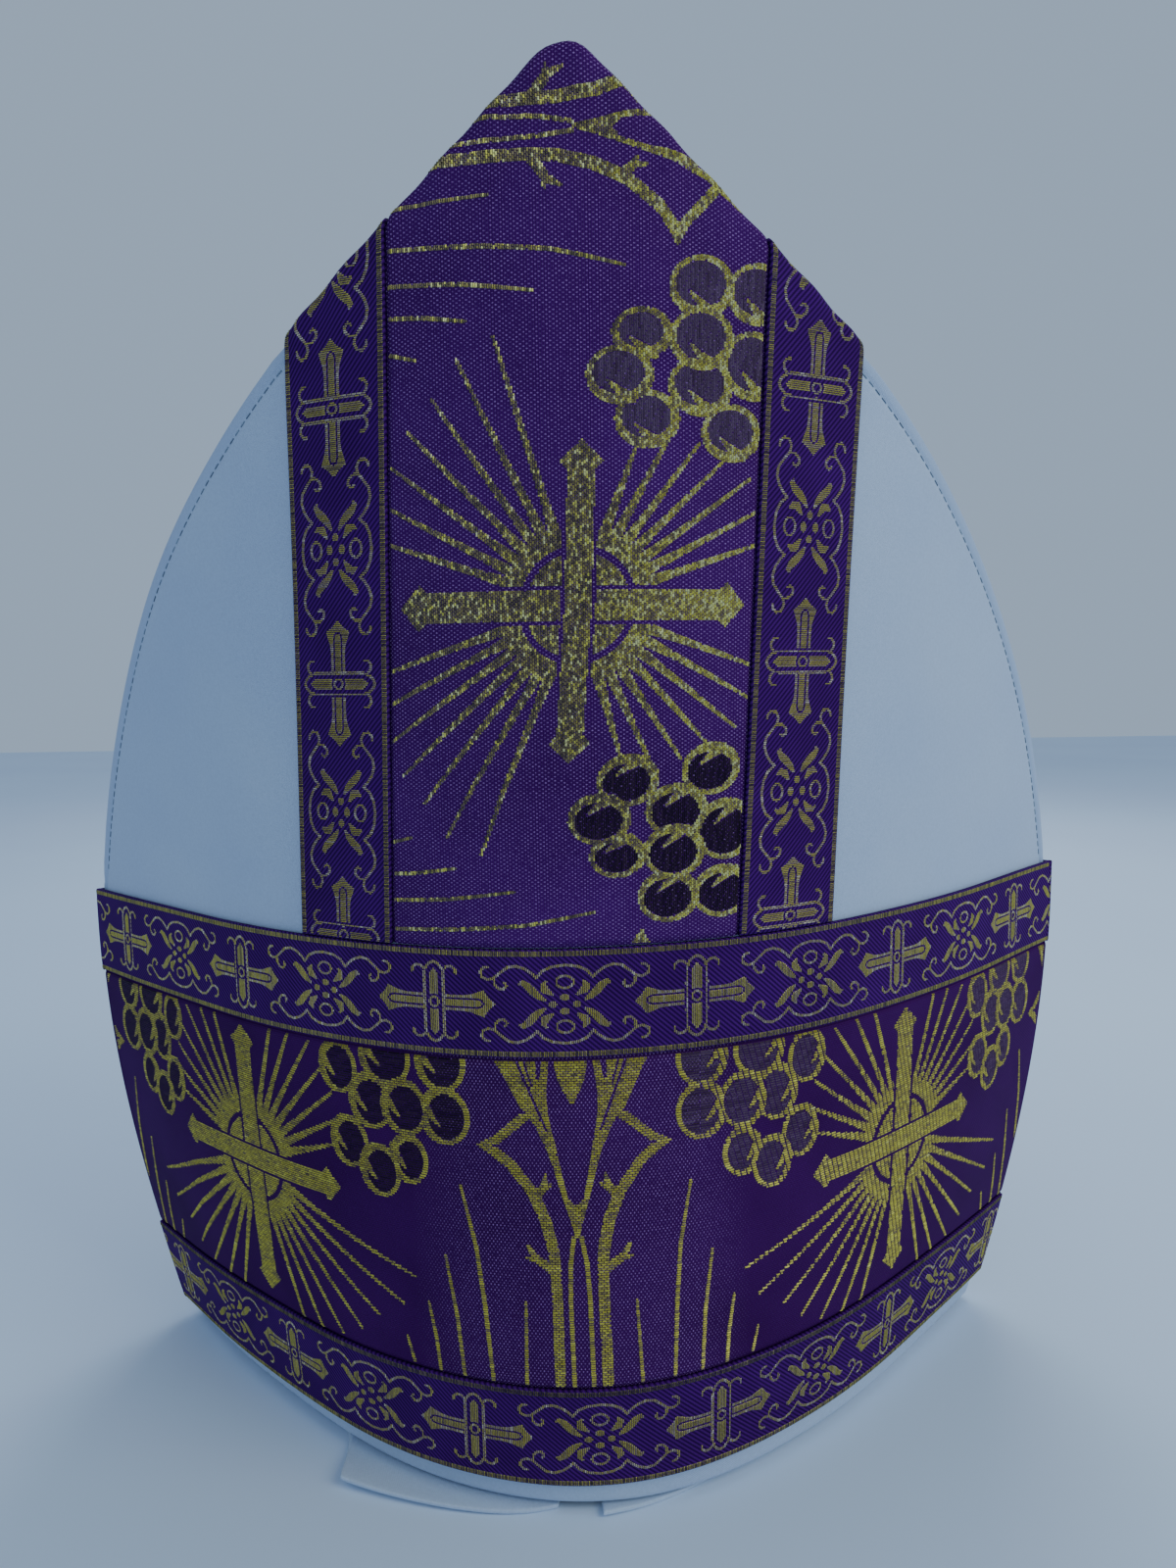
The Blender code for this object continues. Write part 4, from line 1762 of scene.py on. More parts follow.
@dataclass
class Ribbon(Sheet):
    """What a woven ribbon is anywhere: its width, its rounded section, its threads."""

    finish = RIBBON_GROUND
    floats: ClassVar[Floats] = Floats(0.41, 0.05, longest=9.0, shortest=0.2, height=0.20, fullness=0.84)
    across_ends: ClassVar[tuple[float, ...]] = (0.0, 0.00006, 0.0002, 0.0004, 0.0006, 0.0011, 0.0018)
    across_steps: ClassVar[int] = 12
    side: Side
    part: str
    width: float = 0.0243
    medallion: float = 0.0
    upper_edge: float = 1.0
    edge_radius: float = 0.0005
    edge_fall: float = 0.8
    hollow: float = 0.00010
    hollow_place: float = 0.0022
    hollow_width: float = 0.0005
    thread_sink: float = 0.00004
    edge_shades: tuple[float, float, float] = (0.10, 0.32, 0.48)
    short_shade: float = 0.78
    long_shade: float = 0.58
    short: float = 1.1
    seed: int = 5

    def face(self, from_edge: Array, inside: Array) -> Array:
        """How far out the face lies, at distances from the ribbon's edge and inside the horn's."""
        hollow = self.hollow * np.exp(-(((from_edge - self.hollow_place) / self.hollow_width) ** 2))
        return RIBBON_LAYER.over(inside) - self.edge_fall * rounded(from_edge, self.edge_radius) - hollow

    def spans(self) -> tuple[float, float, float]:
        """Where the ribbon starts and ends along itself, and its medallion's middle, in millimetres."""
        raise NotImplementedError

    def spot(self, across: Array, along: Array) -> Placed:
        """The s and z of places across and along the ribbon, all in metres."""
        raise NotImplementedError

    def within(self, s: Array, z: Array) -> Array:
        """How far each point lies inside the cloth's ends."""
        raise NotImplementedError

    def bend(self, flat: Array) -> Array:
        """Lays rows of places across, along and above the ribbon on its outer face.

        Args:
            flat: the rows.

        Returns:
            The points in the mitre's frame.
        """
        s, z = self.spot(flat[:, 0], flat[:, 1])
        from_edge = self.width / 2 * (1.0 - np.abs(flat[:, 0]) / (RIBBON_FIGURE.half_width * MM))
        out = self.face(np.maximum(from_edge, 0.0), SHELL.inside(s, z)) - self.thread_sink + flat[:, 2]
        return SHELL.lay(s, z, out, self.side)

    def shades(self, x: Array, thread: Array, length: Array) -> Array:
        """The middle shade of each thread: some of the edge lines' threads are dull.

        Args:
            x: how far across the ribbon each lies, in millimetres.
            thread: the number of each one's thread.
            length: how long each is, in millimetres.

        Returns:
            Numbers from 0 to 1.
        """
        dullest, dull, plain = self.edge_shades
        edge = np.where(thread % 6 == 0, dullest, np.where(thread % 2 == 0, dull, plain))
        edge = np.where(x > 0.0, edge * self.upper_edge, edge)
        inner = np.where(length < self.short, self.short_shade, self.long_shade)
        return np.where(np.abs(x) > RIBBON_FIGURE.edge_line[0] - 0.2, edge, inner)

    def figure(self, threads: Threads) -> list[Object]:
        """Weaves the ribbon's gold figure.

        Args:
            threads: what weaves it.

        Returns:
            The gold, alone in a list.
        """
        weave = self.floats
        start, end, phase = self.spans()
        rows = np.arange(start + weave.pitch / 2, end, weave.pitch)
        half = RIBBON_FIGURE.half_width
        x_grid, y_grid = np.meshgrid(np.arange(-half, half, weave.step), rows)
        filled = RIBBON_FIGURE.chart.at(np.abs(x_grid), RIBBON_FIGURE.fold(y_grid - phase))
        s_grid, z_grid = self.spot(x_grid.ravel() * MM, y_grid.ravel() * MM)
        pieces = weave.cut(filled & (self.within(s_grid, z_grid) > 0.0).reshape(x_grid.shape))
        thread = pieces[:, 0].astype(int)
        x = (pieces[:, 1] + pieces[:, 2]) / 2 - half
        random = np.random.default_rng(self.seed)
        sizes = weave.sizes(pieces, random)
        tints = near(self.shades(x, thread, pieces[:, 2] - pieces[:, 1]), random, len(pieces))
        middles = np.stack([x, rows[thread]], axis=-1) * MM
        name = f"{self.node}_gold"
        return [threads.weave(name, middles, sizes, 0.0, tints, self.bend, RIBBON_THREAD)]


@dataclass
class BandRibbon(Ribbon):
    """A ribbon of the band round the head."""

    foot: float = 0.0077
    columns: int = 120

    def seam(self) -> float:
        """The s of the ribbon's end at the side seam."""
        return float(SHELL.seam_arc(np.array([self.foot + self.width]), RIBBON_LAYER.top)[0])

    def grid(self) -> tuple[Array, Array]:
        """The places of the columns, from seam to seam, and the rows' heights above the foot."""
        up = spaced(self.across_steps, self.across_ends, self.width)
        return spaced(self.columns, SEAM_ENDS, 2.0) - 1.0, up

    def place(self, column: Array, row: Array, outer: Array) -> Placed:
        """Lays the ribbon round the head.

        Args:
            column: the shares of the way to the right seam.
            row: the heights above the foot.
            outer: 0 for the inner or 1 for the outer face.

        Returns:
            The points and their flat layout.
        """
        z = self.foot + row
        s = column * SHELL.seam_arc(z, RIBBON_LAYER.top)
        z = z + TILT * s
        from_edge = np.minimum(row, self.width - row)
        out = np.where(outer > 0.5, self.face(from_edge, SHELL.inside(s, z) + 1.0), RIBBON_LAYER.seat)
        return SHELL.lay(s, z, out, self.side), np.stack([s, row], axis=-1)

    def spans(self) -> tuple[float, float, float]:
        """From seam to seam."""
        reach = self.seam() / MM
        return -reach, reach, self.medallion

    def spot(self, across: Array, along: Array) -> Placed:
        """The s and z of places across and along the ribbon."""
        return along, self.foot + self.width / 2 + TILT * along + across

    def within(self, s: Array, z: Array) -> Array:
        """How far each point lies from the seams."""
        return SHELL.seam_arc(z - TILT * s, RIBBON_LAYER.top) - CUT_MARGIN - np.abs(s)


@dataclass(kw_only=True)
class Upright(Sheet):
    """Where the strips of an upright panel lie."""

    side: Side
    foot: float = 0.1356
    drift_foot: float = -0.0030
    drift_top: float = 0.0018
    turned_down: float = 0.0014
    body_rows: int = 84
    wrap_rows: int = 8

    def drift(self, z: Array) -> Array:
        """How far the middle of the panel lies to the right at z; the back panel stands straight.

        Args:
            z: the heights.

        Returns:
            The distances.
        """
        if self.side is Side.BACK:
            return np.zeros_like(z)
        share = (z - SHELL.seam_top) / (SHELL.shoulder_height - SHELL.seam_top)
        return self.drift_foot + (self.drift_top - self.drift_foot) * share

    def edge(self, straight: Array) -> Array:
        """The height at which a line of the strip meets the horn's edge.

        Args:
            straight: the line's place across.

        Returns:
            The heights.
        """
        top = SHELL.edge_height(straight)
        for _ in range(4):
            top = SHELL.edge_height(straight + self.drift(top))
        return top

    def rows(self) -> Array:
        """The places of the rows: 0 to 1 up the face, 1 to 2 round the edge, 2 to 3 down inside.

        Returns:
            The places in order.
        """
        body = np.linspace(0.0, 1.0, self.body_rows)
        wrap = 1.0 + np.arange(1, self.wrap_rows + 1) / self.wrap_rows
        return np.concatenate((body, wrap, (2.5, 3.0)))

    def roll(self, straight: Array, row: Array, out: Array) -> tuple[Array, Array, Array]:
        """The flat layout of a strip's points, rolled over the horn's edge past row 1.

        Args:
            straight: the s before the strip's drift.
            row: the places of the rows.
            out: how far out the points lie on the face.

        Returns:
            s, z and out.
        """
        radius = SHELL.rim_radius
        edge = self.edge(straight)
        lean = SHELL.edge_lean(straight + self.drift(edge))
        foot = self.foot + TILT * straight
        z = foot + (edge - radius / lean - foot) * np.clip(row, 0.0, 1.0)
        angle = np.clip(row - 1.0, 0.0, 1.0) * math.pi
        reach = radius + out
        z = np.where(row > 1.0, edge - (radius - reach * np.sin(angle)) / lean, z)
        z = np.where(row > 2.0, z - self.turned_down * (row - 2.0) / lean, z)
        out = np.where(row > 1.0, -radius + reach * np.cos(angle), out)
        return straight + self.drift(z), z, out


@dataclass
class BrocadePanel(Upright):
    """The brocade of an upright panel, the same cloth as the band's turned a quarter round."""

    finish = PANEL_GROUND
    part = "panel_brocade"
    floats: ClassVar[Floats] = Floats(0.46, 0.10, 0.95, 0.8, 0.33, 0.07, height=0.22, fullness=0.98)
    half_width: float = 0.0393
    tuck: float = 0.0018
    stem_height: float = 0.2983
    columns: int = 52
    spare: float = 4.0
    highest: float = 316.0
    over_edge: float = 0.0005
    # Painted glints and painted light on the panel's gold, stronger towards the lit right.
    glint_share: tuple[float, float] = (0.22, 0.28)
    glint_turn: tuple[float, float] = (-4.0, 34.0)
    glint_shades: tuple[float, float] = (0.66, 0.96)
    dull_shades: tuple[float, float] = (0.04, 0.38)
    dull_gain: float = 0.20
    grape_shades: tuple[float, float] = (0.08, 0.75)
    dark_below: float = 0.2
    seed: int = 7
    moved: tuple[tuple[float, float], ...] = (
        (140.0, -2.9), (170.0, -2.0), (208.0, 1.0), (240.0, 2.2), (262.0, 3.2), (280.0, 5.0), (305.0, 6.0),
    )

    def grid(self) -> tuple[Array, Array]:
        """The columns' places from the middle line, and the rows'."""
        half = self.half_width + self.tuck
        return spaced(self.columns, BROCADE_ENDS, 2 * half) - self.half_width - self.tuck, self.rows()

    def face(self, straight: Array) -> Array:
        """How far out the face lies at a distance from the panel's middle."""
        return BROCADE_LAYER.dipping(self.half_width - np.abs(straight))

    def place(self, column: Array, row: Array, outer: Array) -> Placed:
        """Lays the cloth up the horn and over its edge.

        Args:
            column: the places from the middle line.
            row: the places of the rows.
            outer: 0 for the inner or 1 for the outer face.

        Returns:
            The points and their flat layout.
        """
        out = np.where(outer > 0.5, self.face(column), BROCADE_SEAT)
        s, z, out = self.roll(column, row, out)
        return SHELL.lay(s, z, out, self.side), np.stack([z, s], axis=-1)

    def bend(self, flat: Array) -> Array:
        """Lays rows of s, z and height above the cloth on the outer face.

        Args:
            flat: the rows.

        Returns:
            The points in the mitre's frame.
        """
        s, z, height = flat.T
        dipped = BROCADE_LAYER.top - self.face(s - self.drift(z))
        out = BROCADE_LAYER.over(SHELL.inside(s, z)) - dipped
        return SHELL.lay(s, z, out - SUNK + height, self.side)

    def glitter(self, s: Array, random: np.random.Generator) -> Array:
        """The shade of each gold thread, with painted glints: more of them to the right, where the light falls, and
        the dull threads lighter there too.

        Args:
            s: where the threads lie, in metres.
            random: the source of chance.

        Returns:
            Numbers from 0 to 1.
        """
        lit_rightwards = smooth((s / MM - self.glint_turn[0]) / self.glint_turn[1])
        least, more = self.glint_share
        glints = random.uniform(0.0, 1.0, len(s)) < least + more * lit_rightwards
        dull = random.uniform(*self.dull_shades, len(s)) + self.dull_gain * lit_rightwards
        return np.where(glints, random.uniform(*self.glint_shades, len(s)), dull)

    def figure(self, threads: Threads) -> list[Object]:
        """Weaves the gold figure and the grapes, which are dark below.

        Args:
            threads: what weaves them.

        Returns:
            The gold and the grapes.
        """
        weave = self.floats
        half = self.half_width / MM
        rows = np.arange(-half - self.spare, half + self.spare, weave.pitch)
        places = np.arange(self.foot / MM - 1.0, self.highest, weave.step)
        z_grid, s_grid = np.meshgrid(places * MM, rows * MM)
        figure_along = BROCADE_FIGURE.fold((self.stem_height - z_grid) / MM)
        figure_across = s_grid / MM - np.interp(z_grid / MM, *zip(*self.moved))
        on_cloth = np.abs(s_grid - self.drift(z_grid)) < self.half_width - CUT_MARGIN
        on_cloth &= SHELL.inside(s_grid.ravel(), z_grid.ravel()).reshape(s_grid.shape) > -self.over_edge
        on_cloth &= z_grid > self.foot + TILT * s_grid + CUT_MARGIN
        made = []
        for chart, word, finish, cut in brocade_kinds(weave):
            pieces = cut.cut(chart.at(figure_along, figure_across) & on_cloth)
            s = rows[pieces[:, 0].astype(int)] * MM
            z = places[0] * MM + (pieces[:, 1] + pieces[:, 2]) / 2 * MM
            random = np.random.default_rng(self.seed)
            sizes = cut.sizes(pieces, random)
            if word == "gold":
                tints = self.glitter(s, random)
            else:
                least, more = self.grape_shades
                tints = near(least + more * (z > self.dark_below), random, len(s))
            middles = np.stack([s, z], axis=-1)
            name = f"{self.side.word}_panel_{word}"
            made.append(threads.weave(name, middles, sizes, math.pi / 2, tints, self.bend, finish))
        return made


@dataclass
class PanelRibbon(Ribbon, Upright):
    """A ribbon at one side of an upright panel."""

    hand: Hand = Hand.LEFT
    inner: float = 0.0395
    width: float = 0.0257
    repeat: float = 57.2
    highest: float = 296.0
    over_edge: float = 0.0006

    @property
    def stretch(self) -> float:
        """The figure's length as charted, for its length on this ribbon."""
        return 2 * RIBBON_FIGURE.half_repeat / self.repeat

    def grid(self) -> tuple[Array, Array]:
        """The columns' places from the left edge, and the rows'."""
        return spaced(self.across_steps, self.across_ends, self.width), self.rows()

    def place(self, column: Array, row: Array, outer: Array) -> Placed:
        """Lays the ribbon up the horn and over its edge.

        Args:
            column: the places from the left edge.
            row: the places of the rows.
            outer: 0 for the inner or 1 for the outer face.

        Returns:
            The points and their flat layout.
        """
        left = self.inner if self.hand is Hand.RIGHT else -self.inner - self.width
        face = self.face(np.minimum(column, self.width - column), np.full(len(column), 1.0))
        s, z, out = self.roll(left + column, row, np.where(outer > 0.5, face, RIBBON_LAYER.seat))
        return SHELL.lay(s, z, out, self.side), np.stack([z, self.width - column], axis=-1)

    def spans(self) -> tuple[float, float, float]:
        """From just below the foot to above the horn's edge."""
        stretch = self.stretch
        return (self.foot / MM - 2.0) * stretch, self.highest * stretch, self.medallion * stretch

    def spot(self, across: Array, along: Array) -> Placed:
        """The s and z of places across and along the ribbon.

        Args:
            across: places across.
            along: places along.

        Returns:
            Their s and z.
        """
        middle = self.hand.value * (self.inner + self.width / 2)
        widened = self.width / (2 * RIBBON_FIGURE.half_width * MM)
        z = along / self.stretch
        return middle + across * widened + self.drift(z), z

    def within(self, s: Array, z: Array) -> Array:
        """How far each point lies from the foot, or from just over the horn's edge."""
        on_face = SHELL.inside(s, z) + self.over_edge
        return np.minimum(on_face, z - self.foot - TILT * s - CUT_MARGIN)


@dataclass
class Gusset(Sheet):
    """The soft cloth that hangs in a valley between the two horns, with a lip at each end."""

    finish = LINING_CLOTH
    node = "crown_gusset"
    name = "gusset_cloth"
    thickness: float = 0.0012
    tuck: float = 0.0030
    half_arc: float = 0.1605
    valley_middle: float = 0.165
    valley_side: float = 0.150
    valley_power: float = 1.4
    folds: float = 0.0016
    lip: float = 0.018
    lip_places: tuple[float, ...] = (1.05, 1.5, 2.0)
    lip_shift: float = 0.0006
    columns: int = 90
    rows: int = 48

    def grid(self) -> tuple[Array, Array]:
        """The shares of the way to each end, past 1 on the lips, and the shares from back to front.

        Returns:
            The columns and the rows.
        """
        lip = np.array(self.lip_places)
        along = np.concatenate((-lip[::-1], np.linspace(-1.0, 1.0, self.columns + 1), lip))
        return along, np.linspace(-1.0, 1.0, self.rows + 1)

    def place(self, column: Array, row: Array, outer: Array) -> Placed:
        """Hangs the valley from the horns' edges, with soft folds.

        Args:
            column: the shares of the way to the right end.
            row: the shares of the way to the back.
            outer: 0 for the lower or 1 for the upper face.

        Returns:
            The points and their flat layout.
        """
        below = np.maximum(np.abs(column) - 1.0, 0.0) * self.lip
        on_lip = below > 0.0
        share = np.clip(column, -1.0, 1.0)
        s = share * self.half_arc
        top = SHELL.edge_height(s) - self.tuck
        seat = -SHELL.wall - SHELL.seat_gap
        edge = SHELL.lay(s, top, seat, Side.BACK)
        valley = np.cos(math.pi / 2 * share)
        valley = self.valley_side + (self.valley_middle - self.valley_side) * valley
        rise = top - valley
        low = valley + rise * np.abs(row) ** self.valley_power - below
        sway = np.sin(9.0 * share + 1.7) * np.cos(3.1 * row) + 0.6 * np.sin(17.0 * share + 4.0 * row)
        fold = self.folds * ((1.0 - row**2) * (1.0 - share**2)) * sway
        bend = np.copysign(np.abs(row) ** (self.valley_power - 1), row)
        steep = self.valley_power * rise / edge[:, 1] * bend
        normal = np.stack([np.zeros_like(s), -steep, np.ones_like(s)], axis=-1)
        normal /= np.linalg.norm(normal, axis=1)[:, None]
        normal = np.where(on_lip[:, None], np.outer(np.sign(share), (1.0, 0.0, 0.0)), normal)
        half = SHELL.lay(s, np.where(on_lip, low, top), seat, Side.BACK)[:, 1]
        x = edge[:, 0] - self.lip_shift * on_lip * np.sign(share)
        points = np.stack([x, half * row, low], axis=-1)
        points += normal * (fold + self.thickness * outer)[:, None]
        return points, np.stack([s + np.copysign(below, s), row * half * 1.5], axis=-1)


class HemColumn(NamedTuple):
    """A place of the inner band's hem: its arc, how far it is turned out, its reach, lift and slant."""

    arc: float
    turn: float
    reach: float
    lift: float = 0.0
    slant: float = 0.0


class HemRow(NamedTuple):
    """A row of the inner band: its height where it hangs straight, and its push and height turned out."""

    inner: float
    outer: float
    in_push: float | None
    in_z: float
    out_push: float | None
    out_z: float
    short: float = 0.0


@dataclass
class InnerBand(Sheet):
    """The band inside the rim, on which the mitre stands; its two ends are turned out at the front."""

    finish = LINING_CLOTH
    node = "inner_band"
    thickness: float = 0.0012
    gap: float = 0.0004
    side_steps: int = 8
    smoothing: int = 2
    left: tuple[HemColumn, ...] = rows_of(
        HemColumn,
        (0.0065, 1.0, -0.0007), (0.0075, 1.0, -0.0002), (0.0130, 1.0, 0.0020),
        (0.0215, 1.0, 0.0043, 0.0003), (0.0330, 1.0, 0.0067, 0.0008), (0.0460, 1.0, 0.0091, 0.0011, 0.0010),
        (0.0610, 1.0, 0.0112, 0.0016, 0.0065), (0.0655, 1.0, 0.0117, 0.0020, 0.0090),
        (0.0664, 1.0, 0.0118, 0.0022, 0.0093), (0.0676, 0.0, 0.0),
    )
    right: tuple[HemColumn, ...] = rows_of(
        HemColumn,
        (0.0037, 1.0, 0.0024, 0.0006), (0.0043, 1.0, 0.0022, 0.0006), (0.0090, 1.0, 0.0013, 0.0003),
        (0.0150, 1.0, 0.0004), (0.0240, 1.0, -0.0011), (0.0330, 0.6, -0.0018), (0.0440, 0.0, 0.0),
        (0.0550, 0.0, 0.0),
    )
    profile: tuple[HemRow, ...] = rows_of(
        HemRow,
        (0.022, 0.022, 0.0, 0.022, 0.0, 0.022), (0.012, 0.012, 0.0, 0.012, 0.0, 0.012),
        (0.0034, 0.004, 0.0, 0.0024, 0.0, 0.0034), (0.0018, 0.002, 0.0003, 0.0006, 0.0004, 0.0015),
        (0.0009, 0.001, 0.0011, 0.0, 0.0013, 0.0012), (0.0004, 0.0004, None, 0.0, None, 0.0012, 0.0007),
        (0.0, 0.0, None, 0.0, None, 0.0012),
    )

    @property
    def half(self) -> int:
        """The number of the column at the left side seam."""
        return len(self.left) - 1 + self.side_steps

    def point(self, column: int, row: HemRow, outer: bool) -> Placed:
        """One point of the band.

        Args:
            column: its column, counted from the left end at the front.
            row: its row.
            outer: whether it is on the outer face.

        Returns:
            The point and its flat layout.
        """
        half = self.half
        out = -SHELL.wall - self.gap - (0.0 if outer else self.thickness)
        straight, push, height = row.inner, row.in_push, row.in_z
        if outer:
            straight, push, height = row.outer, row.out_push, row.out_z
        seam = float(SHELL.seam_arc(np.array([straight]), out, 0.0)[0])
        if half <= column <= 3 * half:
            s = ((column - half) / half - 1) * seam
            return SHELL.lay([s], [straight], out, Side.BACK)[0], np.array((0.3 + s, straight))
        is_left = column < half
        ends = self.left if is_left else self.right
        step = column if is_left else 4 * half - column
        if step < len(ends):
            s, turn, reach, lift, slant = ends[step]
        else:
            share = (step - len(ends) + 1) / (self.side_steps + len(self.left) - len(ends))
            s, turn, reach, lift, slant = ends[-1].arc + (seam - ends[-1].arc) * share, 0.0, 0.0, 0.0, 0.0
        turned_out = reach - row.short if push is None else out + push
        if push is None:
            height += lift
            s -= slant
        z = straight + (height - straight) * turn
        far = out + (turned_out - out) * turn
        s = -s if is_left else s
        return SHELL.lay([s], [z], far, Side.FRONT)[0], np.array((s, z + far))

    def grid(self) -> tuple[Array, Array]:
        """The numbers of the columns, from the left end at the front, and of the rows, from below."""
        return np.arange(4 * self.half + 1, dtype=float), np.arange(len(self.profile), dtype=float)

    def place(self, column: Array, row: Array, outer: Array) -> Placed:
        """Lays the band round inside the rim and turns its ends out.

        Args:
            column: the columns' numbers.
            row: the rows' numbers.
            outer: 0 for the inner or 1 for the outer face.

        Returns:
            The points and their flat layout.
        """
        found = []
        for number, step, face in zip(column, row, outer):
            found.append(self.point(round(number), self.profile[-1 - round(step)], face > 0.5))
        return tuple(np.array(values) for values in zip(*found))

    def build(self) -> Object:
        """Makes the band and softens it.

        Returns:
            The object.
        """
        piece = super().build()
        soft = piece.modifiers.new("soft", "SUBSURF")
        soft.levels = soft.render_levels = self.smoothing
        return piece


# --- The studio ---


class Lamp(NamedTuple):
    """A soft square lamp: its name, where it stands, its side, power and colour."""

    name: str
    place: tuple[float, float, float]
    size: float
    power: float
    colour: Colour


@dataclass
class Studio:
    """The floor, the light and the camera."""

    focal_pixels: float = 1082.6
    picture_height: float = 1600.0
    sensor: float = 36.0
    eye: tuple[float, float, float] = (-0.0002, -0.3095, 0.1954)
    pitch: float = -0.1070
    yaw: float = -0.0126
    roll: float = -0.0138
    nearest: float = 0.01
    aim: tuple[float, float, float] = (0.0, 0.0, 0.15)
    floor_size: float = 2.5
    floor_colours: tuple[Colour, Colour] = ((0.68, 0.79, 0.95), (0.72, 0.83, 0.98))
    sky_colour: Colour = (0.58, 0.76, 1.0)
    sky_strength: float = 0.57
    lamps: tuple[Lamp, ...] = (
        Lamp("key_lamp", (0.95, -0.62, 0.9), 0.8, 5.8, (0.92, 1.0, 0.93)),
        Lamp("back_lamp", (0.2, 0.9, 1.0), 0.8, 5.0, (0.85, 0.95, 1.0)),
    )

    def camera(self) -> None:
        """Sets the camera at the photograph's place."""
        data = bpy.data.cameras.new("camera")
        data.sensor_width = self.sensor
        data.lens = self.focal_pixels / self.picture_height * self.sensor
        data.clip_start = self.nearest
        level = Vector((math.cos(self.yaw), math.sin(self.yaw), 0.0))
        ahead = math.cos(self.pitch)
        forward = Vector((-math.sin(self.yaw) * ahead, math.cos(self.yaw) * ahead, math.sin(self.pitch)))
        upward = level.cross(forward)
        right = level * math.cos(self.roll) + upward * math.sin(self.roll)
        up = upward * math.cos(self.roll) - level * math.sin(self.roll)
        turned = Matrix((right, up, -forward)).transposed().to_4x4()
        eye = add("camera", data)
        eye.matrix_world = Matrix.Translation(self.eye) @ turned
        bpy.context.scene.camera = eye

    def light(self) -> None:
        """Sets the sky, and the lamps, which look at the mitre."""
        world = bpy.data.worlds.new("studio")
        bpy.context.scene.world = world
        world.use_nodes = True
        background = world.node_tree.nodes["Background"]
        background.inputs["Color"].default_value = (*self.sky_colour, 1.0)
        background.inputs["Strength"].default_value = self.sky_strength
        for name, place, size, power, colour in self.lamps:
            data = bpy.data.lights.new(name, "AREA")
            data.size = size
            data.energy = power
            data.color = colour
            turned = (Vector(self.aim) - Vector(place)).to_track_quat("-Z", "Y").to_matrix().to_4x4()
            add(name, data).matrix_world = Matrix.Translation(place) @ turned

    def floor(self) -> None:
        """Lays the floor, in pale paint with soft clouds."""
        mesh = bmesh.new()
        bmesh.ops.create_grid(mesh, x_segments=2, y_segments=2, size=self.floor_size)
        data = bpy.data.meshes.new("floor")
        mesh.to_mesh(data)
        mesh.free()
        desk = Desk("floor_paint")
        colour = desk.ramp(desk.noise(3.0, 2.0), tuple(zip((0.3, 0.7), self.floor_colours)))
        desk.paint(colour, roughness=0.9)
        data.materials.append(desk.material)
        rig.stage(add("floor", data))

    def build(self) -> None:
        """Makes the camera, the floor and the light."""
        self.camera()
        self.floor()
        self.light()


# --- Putting it together ---


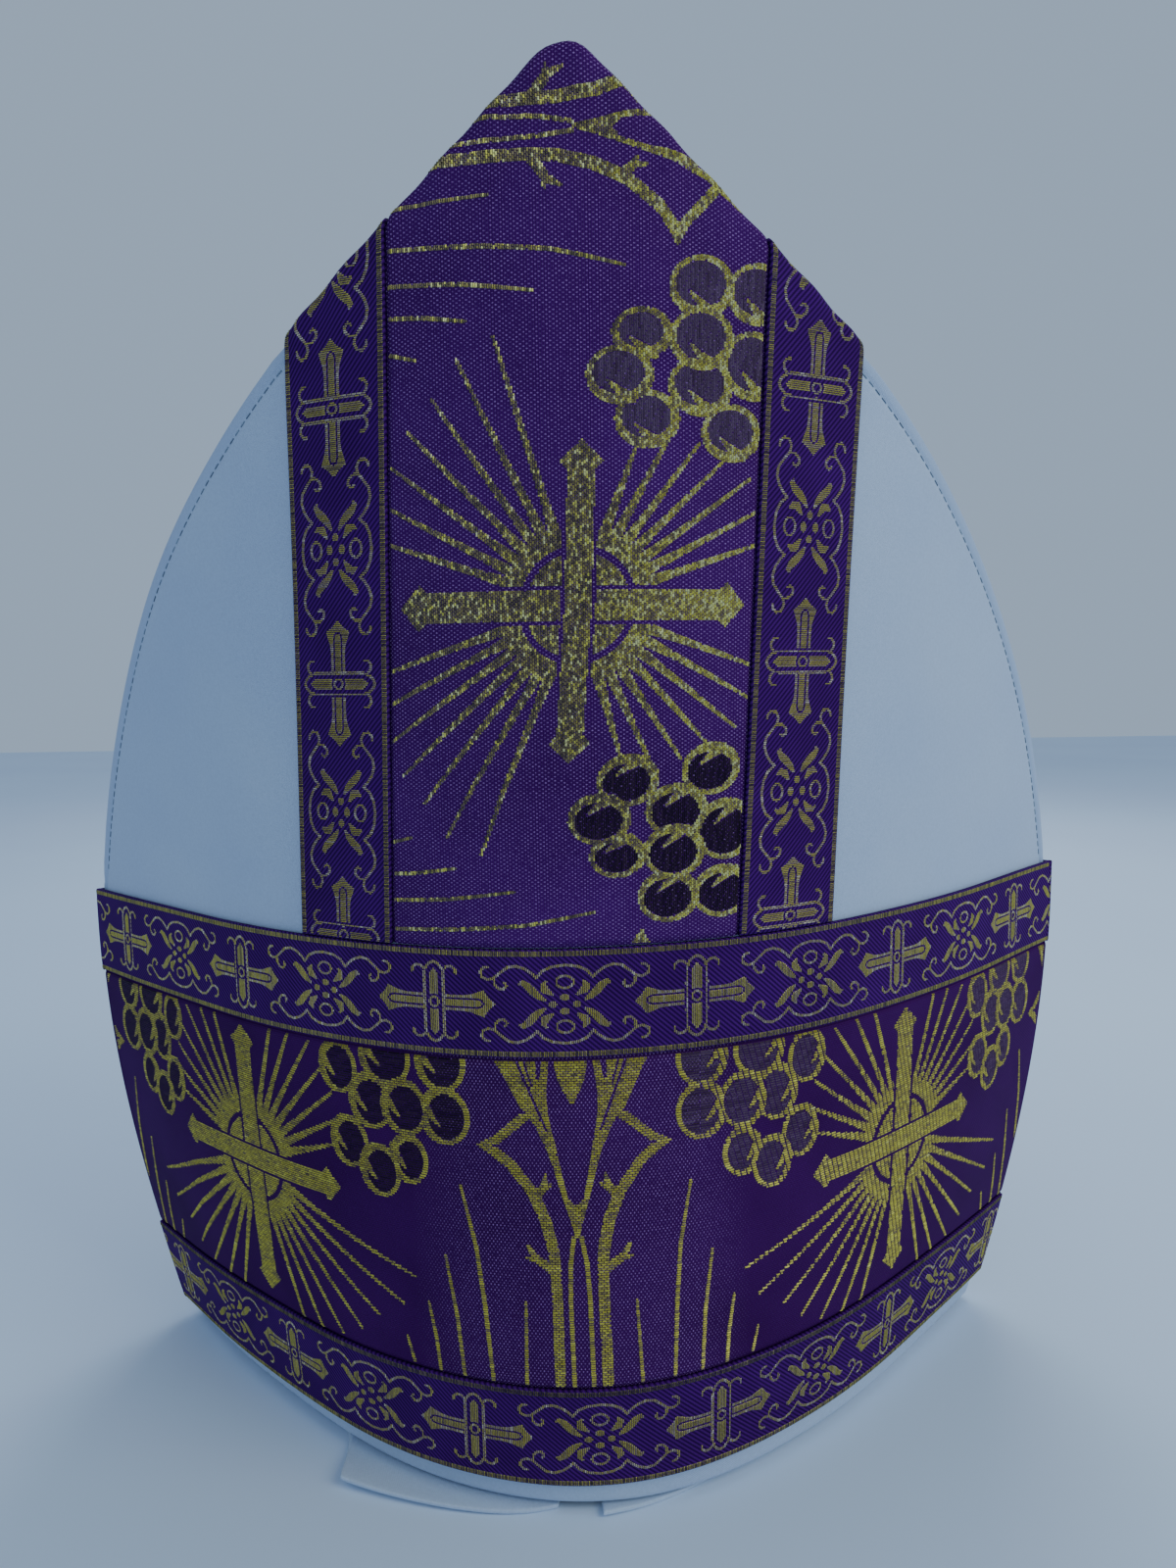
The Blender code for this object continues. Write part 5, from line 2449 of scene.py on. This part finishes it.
@dataclass
class Mitre:
    """The whole mitre, and the flat sizes of its sheets in metres and square metres."""

    threads: Threads = field(default_factory=Threads)
    horn_height: float = 0.3109
    band_flat: tuple[float, float] = (0.331, 0.0808)
    panel_flat: tuple[float, float] = (0.0822, 0.182)
    panel_area: float = 0.0134
    upright_flat: tuple[float, float] = (0.0257, 0.155)
    upright_area: float = 0.0037
    gusset_flat: tuple[float, float] = (0.321, 0.33)
    gusset_area: float = 0.062
    inner_flat: tuple[float, float] = (0.585, 0.026)

    @staticmethod
    def report(*pieces: Object) -> None:
        """Names each piece and its number of faces in the log."""
        for piece in pieces:
            LOG.info("%s: %d faces", piece.name, len(piece.data.polygons))

    def horn(self, side: Side) -> None:
        """Makes a shield and its stitches.

        Args:
            side: the shield.
        """
        horn = Horn(side)
        sheet = horn.build()
        stitches = horn.stitches(self.threads)
        s = np.linspace(-SHELL.seam_end, SHELL.seam_end, 400)
        area = float(np.mean(SHELL.edge_height(s) - SHELL.hem_height)) * 2 * SHELL.seam_end
        flat = (2 * SHELL.seam_end, self.horn_height)
        below = ["inner_band"]
        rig.sheet(sheet, flat=flat, held="stretched", rests_on=below, area=area, with_pieces=[stitches])
        self.report(sheet, stitches)

    def sew_on(
        self,
        woven: BrocadeBand | BrocadePanel | Ribbon,
        flat: tuple[float, float],
        area: float | None = None,
    ) -> None:
        """Makes a woven piece of cloth and its figure, and lays it on its shield.

        Args:
            woven: the piece.
            flat: the width and length of its cut.
            area: the cut's area, where it isn't a rectangle.
        """
        sheet = woven.build()
        made = woven.figure(self.threads)
        node = f"{woven.side.word}_horn_cloth"
        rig.sheet(sheet, flat=flat, held="laid", rests_on=[node], area=area, with_pieces=made)
        self.report(sheet, *made)

    def band(self, side: Side) -> None:
        """Makes the band round the head: brocade and two ribbons.

        Args:
            side: the shield that it lies on.
        """
        self.sew_on(BrocadeBand(side), self.band_flat)
        lower = BandRibbon(side, "band_lower_ribbon", medallion=3.3, upper_edge=0.35)
        upper = BandRibbon(side, "band_upper_ribbon", medallion=-3.0, foot=0.1110)
        for ribbon in (lower, upper):
            self.sew_on(ribbon, (round(2 * ribbon.seam(), 3), ribbon.width))

    def panel(self, side: Side) -> None:
        """Makes the upright panel: brocade and a ribbon at each side.

        Args:
            side: the shield that it lies on.
        """
        self.sew_on(BrocadePanel(side=side), self.panel_flat, self.panel_area)
        left = PanelRibbon(side, part="panel_left_ribbon", hand=Hand.LEFT, medallion=221.7)
        right = PanelRibbon(side, part="panel_right_ribbon", hand=Hand.RIGHT, medallion=225.2)
        for ribbon in (left, right):
            self.sew_on(ribbon, self.upright_flat, self.upright_area)

    def build(self) -> None:
        """Makes every piece in order."""
        for side in Side:
            self.horn(side)
        horns = ["front_horn", "back_horn"]
        gusset = Gusset().build()
        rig.sheet(gusset, flat=self.gusset_flat, area=self.gusset_area, held="hung", rests_on=horns)
        band = InnerBand().build()
        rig.sheet(band, flat=self.inner_flat, held="stretched", rests_on=horns)
        self.report(gusset, band)
        for side in Side:
            self.band(side)
            self.panel(side)
        self.threads.put_away()


def main() -> None:
    """Builds the studio and the mitre, and writes the two boxes."""
    logging.basicConfig(level=logging.INFO, format="%(name)s: %(message)s")
    Studio().build()
    Mitre().build()
    boxes = {"cad": CAD_BOX, "visual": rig.bounds()}
    with open("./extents.json", "w", encoding="utf-8") as file:
        json.dump(boxes, file, default=lambda value: [float(x) for x in value])
    LOG.info("boxes %s", boxes)


if __name__ == "__main__":
    main()
